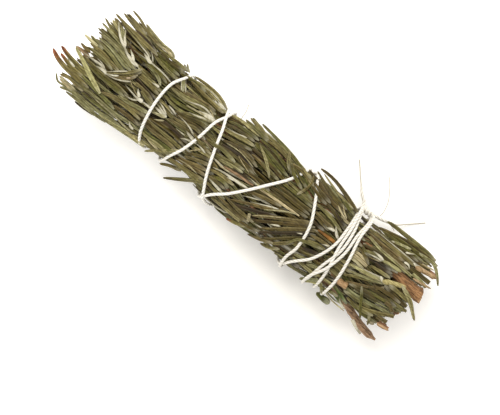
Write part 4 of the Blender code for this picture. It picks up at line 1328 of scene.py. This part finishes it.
def dried_leaf():
    """A dried rosemary leaf: leathery, dull olive and finely wrinkled lengthwise above, with painted
    shade in the wrinkles' hollows, a little blotched, and pale felt below and at the base."""
    made, tree = new_material("dried_rosemary_leaf")
    tint = add_node(tree, "ShaderNodeAttribute", {"attribute_name": "tint"}).outputs["Color"]
    felted = add_node(tree, "ShaderNodeAttribute", {"attribute_name": "felt"}).outputs["Fac"]
    wrinkle = streaks(tree, LEAF_WRINKLES, 3.0, 6.0)
    blotch = streaks(tree, LEAF_BLOTCHES, 2.0, 2.0)
    skin = tint
    # The wrinkles' hollows, which the bump sinks, are painted darker as shade; the blotches are the
    # leaf's own tone.
    for pattern, shades in (
        (wrinkle, ((0.34, "#A19A80"), (0.66, "#FFFFFF"))),
        (blotch, ((0.35, "#D0CDBC"), (0.65, "#FFFFFF"))),
    ):
        shade = add_node(tree, "ShaderNodeValToRGB", None, {"Fac": pattern}, shades).outputs["Color"]
        skin = add_node(tree, "ShaderNodeMix", SHADED, {0: 1.0, 6: skin, 7: shade}).outputs[2]
    # The felt too is painted darker in the wrinkles' hollows.
    felts = ((0.3, "#ABA68C"), (0.7, "#DEDAC8"))
    felt = add_node(tree, "ShaderNodeValToRGB", None, {"Fac": wrinkle}, felts).outputs["Color"]
    colour = add_node(tree, "ShaderNodeMix", OVER, {0: felted, 6: skin, 7: felt}).outputs[2]
    close_material(tree, colour, wrinkle, depth=0.15, roughness=0.5, **{"Specular IOR Level": 0.22})
    return made


# A pressed leaf's upper side leans from its own bearing on the stem towards the bundle's outside.
bearing = np.radians(leaves[:, BEARING])
own = np.stack([np.zeros(count), np.cos(bearing), np.sin(bearing)], axis=1)[:, None]
line = at_rings(eased(middle), RINGS)
share = (0.35 + 0.5 * smooth_step(RINGS / 0.5))[None, :, None]
pressed_mesh = leaf_points(line, own * (1 - share) + outwards(line) * share, RINGS, pressed_leaves)
top_line = at_rings(top_middle, TOP_RINGS)
laid_mesh = leaf_points(top_line, 0.3 * outwards(top_line) + (0, 0, 0.7), TOP_RINGS, laid_leaves)
pressed_tint_with_painted_shade, pressed_felt = leaf_colours(RINGS, pressed_leaves)
laid_tint_with_painted_shade, laid_felt = leaf_colours(TOP_RINGS, laid_leaves)
# Each topmost leaf belongs to the upper sprig whose lane is nearest to its base.
upper_sprigs = np.arange(4, 10)
lane_y = np.array([LANES[i][0] * math.cos(math.radians(LANES[i][1])) for i in upper_sprigs])
owner = upper_sprigs[np.abs(top_middle[:, 0, 1:2] - lane_y).argmin(axis=1)]

leaf_finish = dried_leaf()
for i in range(SPRIGS):
    mine, laid = leaves[:, SPRIG] == i, owner == i
    faces = leaf_faces(mine.sum(), len(RINGS))
    faces += leaf_faces(laid.sum(), len(TOP_RINGS), mine.sum() * pressed_mesh.shape[1])
    points = np.concatenate([pressed_mesh[mine].reshape(-1, 3), laid_mesh[laid].reshape(-1, 3)])
    # Each leaf's tint carries its section's painted shade and highlight.
    values = {
        "tint": np.concatenate([pressed_tint_with_painted_shade[mine].reshape(-1, 3), laid_tint_with_painted_shade[laid].reshape(-1, 3)]),
        "felt": np.concatenate([pressed_felt[mine].ravel(), laid_felt[laid].ravel()]),
    }
    sprig = add_mesh(f"leaves_{i + 1:02d}", points, faces, leaf_finish, values)
    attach(sprig, "root")
    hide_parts(f"sprig_{i + 1:02d}_leaves")

# ---- Surface, light and camera -------------------------------------------------------------
# A matt white table with a painted glow of its own, weakest beside the ties, so that shadows on
# it stay pale, one large soft lamp above and to one side, and a camera looking straight down at the
# bundle.

TABLE_WHITE = "#F4F3F1"
# The table's painted glow, which keeps shadows on it pale: its least and most.
PAINTED_GLOW_LEAST, PAINTED_GLOW_MOST = 0.04, 0.5
PAINTED_GLOW_LEAST_AT, PAINTED_GLOW_RUN = (0.032, -0.018, 0.0), 0.1  # in metres: beside the ties, and from there
FLOOR_HALF = 3000.0
CAMERA_TURN = math.radians(38.3)
CAMERA_OVER = (8.1, -7.6, 12.0)
CAMERA_HEIGHT, LENS = 600.0, 133.5  # the lens in millimetres too
LAMP_AT, LAMP_SIZE, LAMP_WATTS = (-0.37, 0.34, 0.8), 0.5, 5.25  # in metres
LAMP_COLOUR, ROOM_COLOUR = (1.0, 0.96, 0.9), (1.0, 0.975, 0.93, 1.0)
ROOM_LIGHT = 0.98


def white_table():
    """Matt white acrylic: as bright as paper, with a faint painted glow that keeps shadows on it
    pale, weakest where the string is tied."""
    made, tree = new_material("white_table_painted_glow")
    place = add_node(tree, "ShaderNodeTexCoord").outputs["Object"]
    inputs = {0: place, 1: PAINTED_GLOW_LEAST_AT}
    away = add_node(tree, "ShaderNodeVectorMath", {"operation": "DISTANCE"}, inputs).outputs["Value"]
    inputs = {"Value": away, "From Max": PAINTED_GLOW_RUN, "To Min": PAINTED_GLOW_LEAST, "To Max": PAINTED_GLOW_MOST}
    painted_glow = add_node(tree, "ShaderNodeMapRange", None, inputs)
    inputs = {"Base Color": linear(TABLE_WHITE), "Roughness": 0.8,
              "Emission Color": (1.0, 0.995, 0.99, 1.0), "Emission Strength": painted_glow.outputs["Result"]}
    shader = add_node(tree, "ShaderNodeBsdfPrincipled", None, inputs)
    add_node(tree, "ShaderNodeOutputMaterial", None, {"Surface": shader.outputs["BSDF"]})
    return made


corners = [(-FLOOR_HALF, -FLOOR_HALF, 0), (FLOOR_HALF, -FLOOR_HALF, 0),
           (FLOOR_HALF, FLOOR_HALF, 0), (-FLOOR_HALF, FLOOR_HALF, 0)]
floor = add_mesh("floor", corners, [(0, 1, 2, 3)], white_table(), smooth=False)

camera_data = bpy.data.cameras.new("camera")
camera_data.lens = LENS
camera = bpy.data.objects.new("camera", camera_data)
bpy.context.scene.collection.objects.link(camera)
camera.location = to_frame([CAMERA_OVER])[0] + (0, 0, CAMERA_HEIGHT * MM)
camera.rotation_euler = (0.0, 0.0, CAMERA_TURN)
bpy.context.scene.camera = camera


def soft_light(name, place, size, power, colour):
    """A square lamp that faces the middle of the bundle. place is in metres."""
    data = bpy.data.lights.new(name, "AREA")
    data.shape = "SQUARE"
    data.size = size
    data.energy = power
    data.color = colour
    lamp = bpy.data.objects.new(name, data)
    bpy.context.scene.collection.objects.link(lamp)
    lamp.location = place
    aim = -np.array(place) + (0, 0, 0.012)
    lamp.rotation_euler = (math.atan2(math.hypot(aim[0], aim[1]), -aim[2]), 0.0,
                           math.atan2(aim[1], aim[0]) - math.pi / 2)


soft_light("window", LAMP_AT, LAMP_SIZE, LAMP_WATTS, LAMP_COLOUR)
world = bpy.data.worlds.new("room")
world.use_nodes = True
world.node_tree.nodes["Background"].inputs["Color"].default_value = ROOM_COLOUR
world.node_tree.nodes["Background"].inputs["Strength"].default_value = ROOM_LIGHT
bpy.context.scene.world = world
bpy.context.scene.view_settings.view_transform = "Standard"
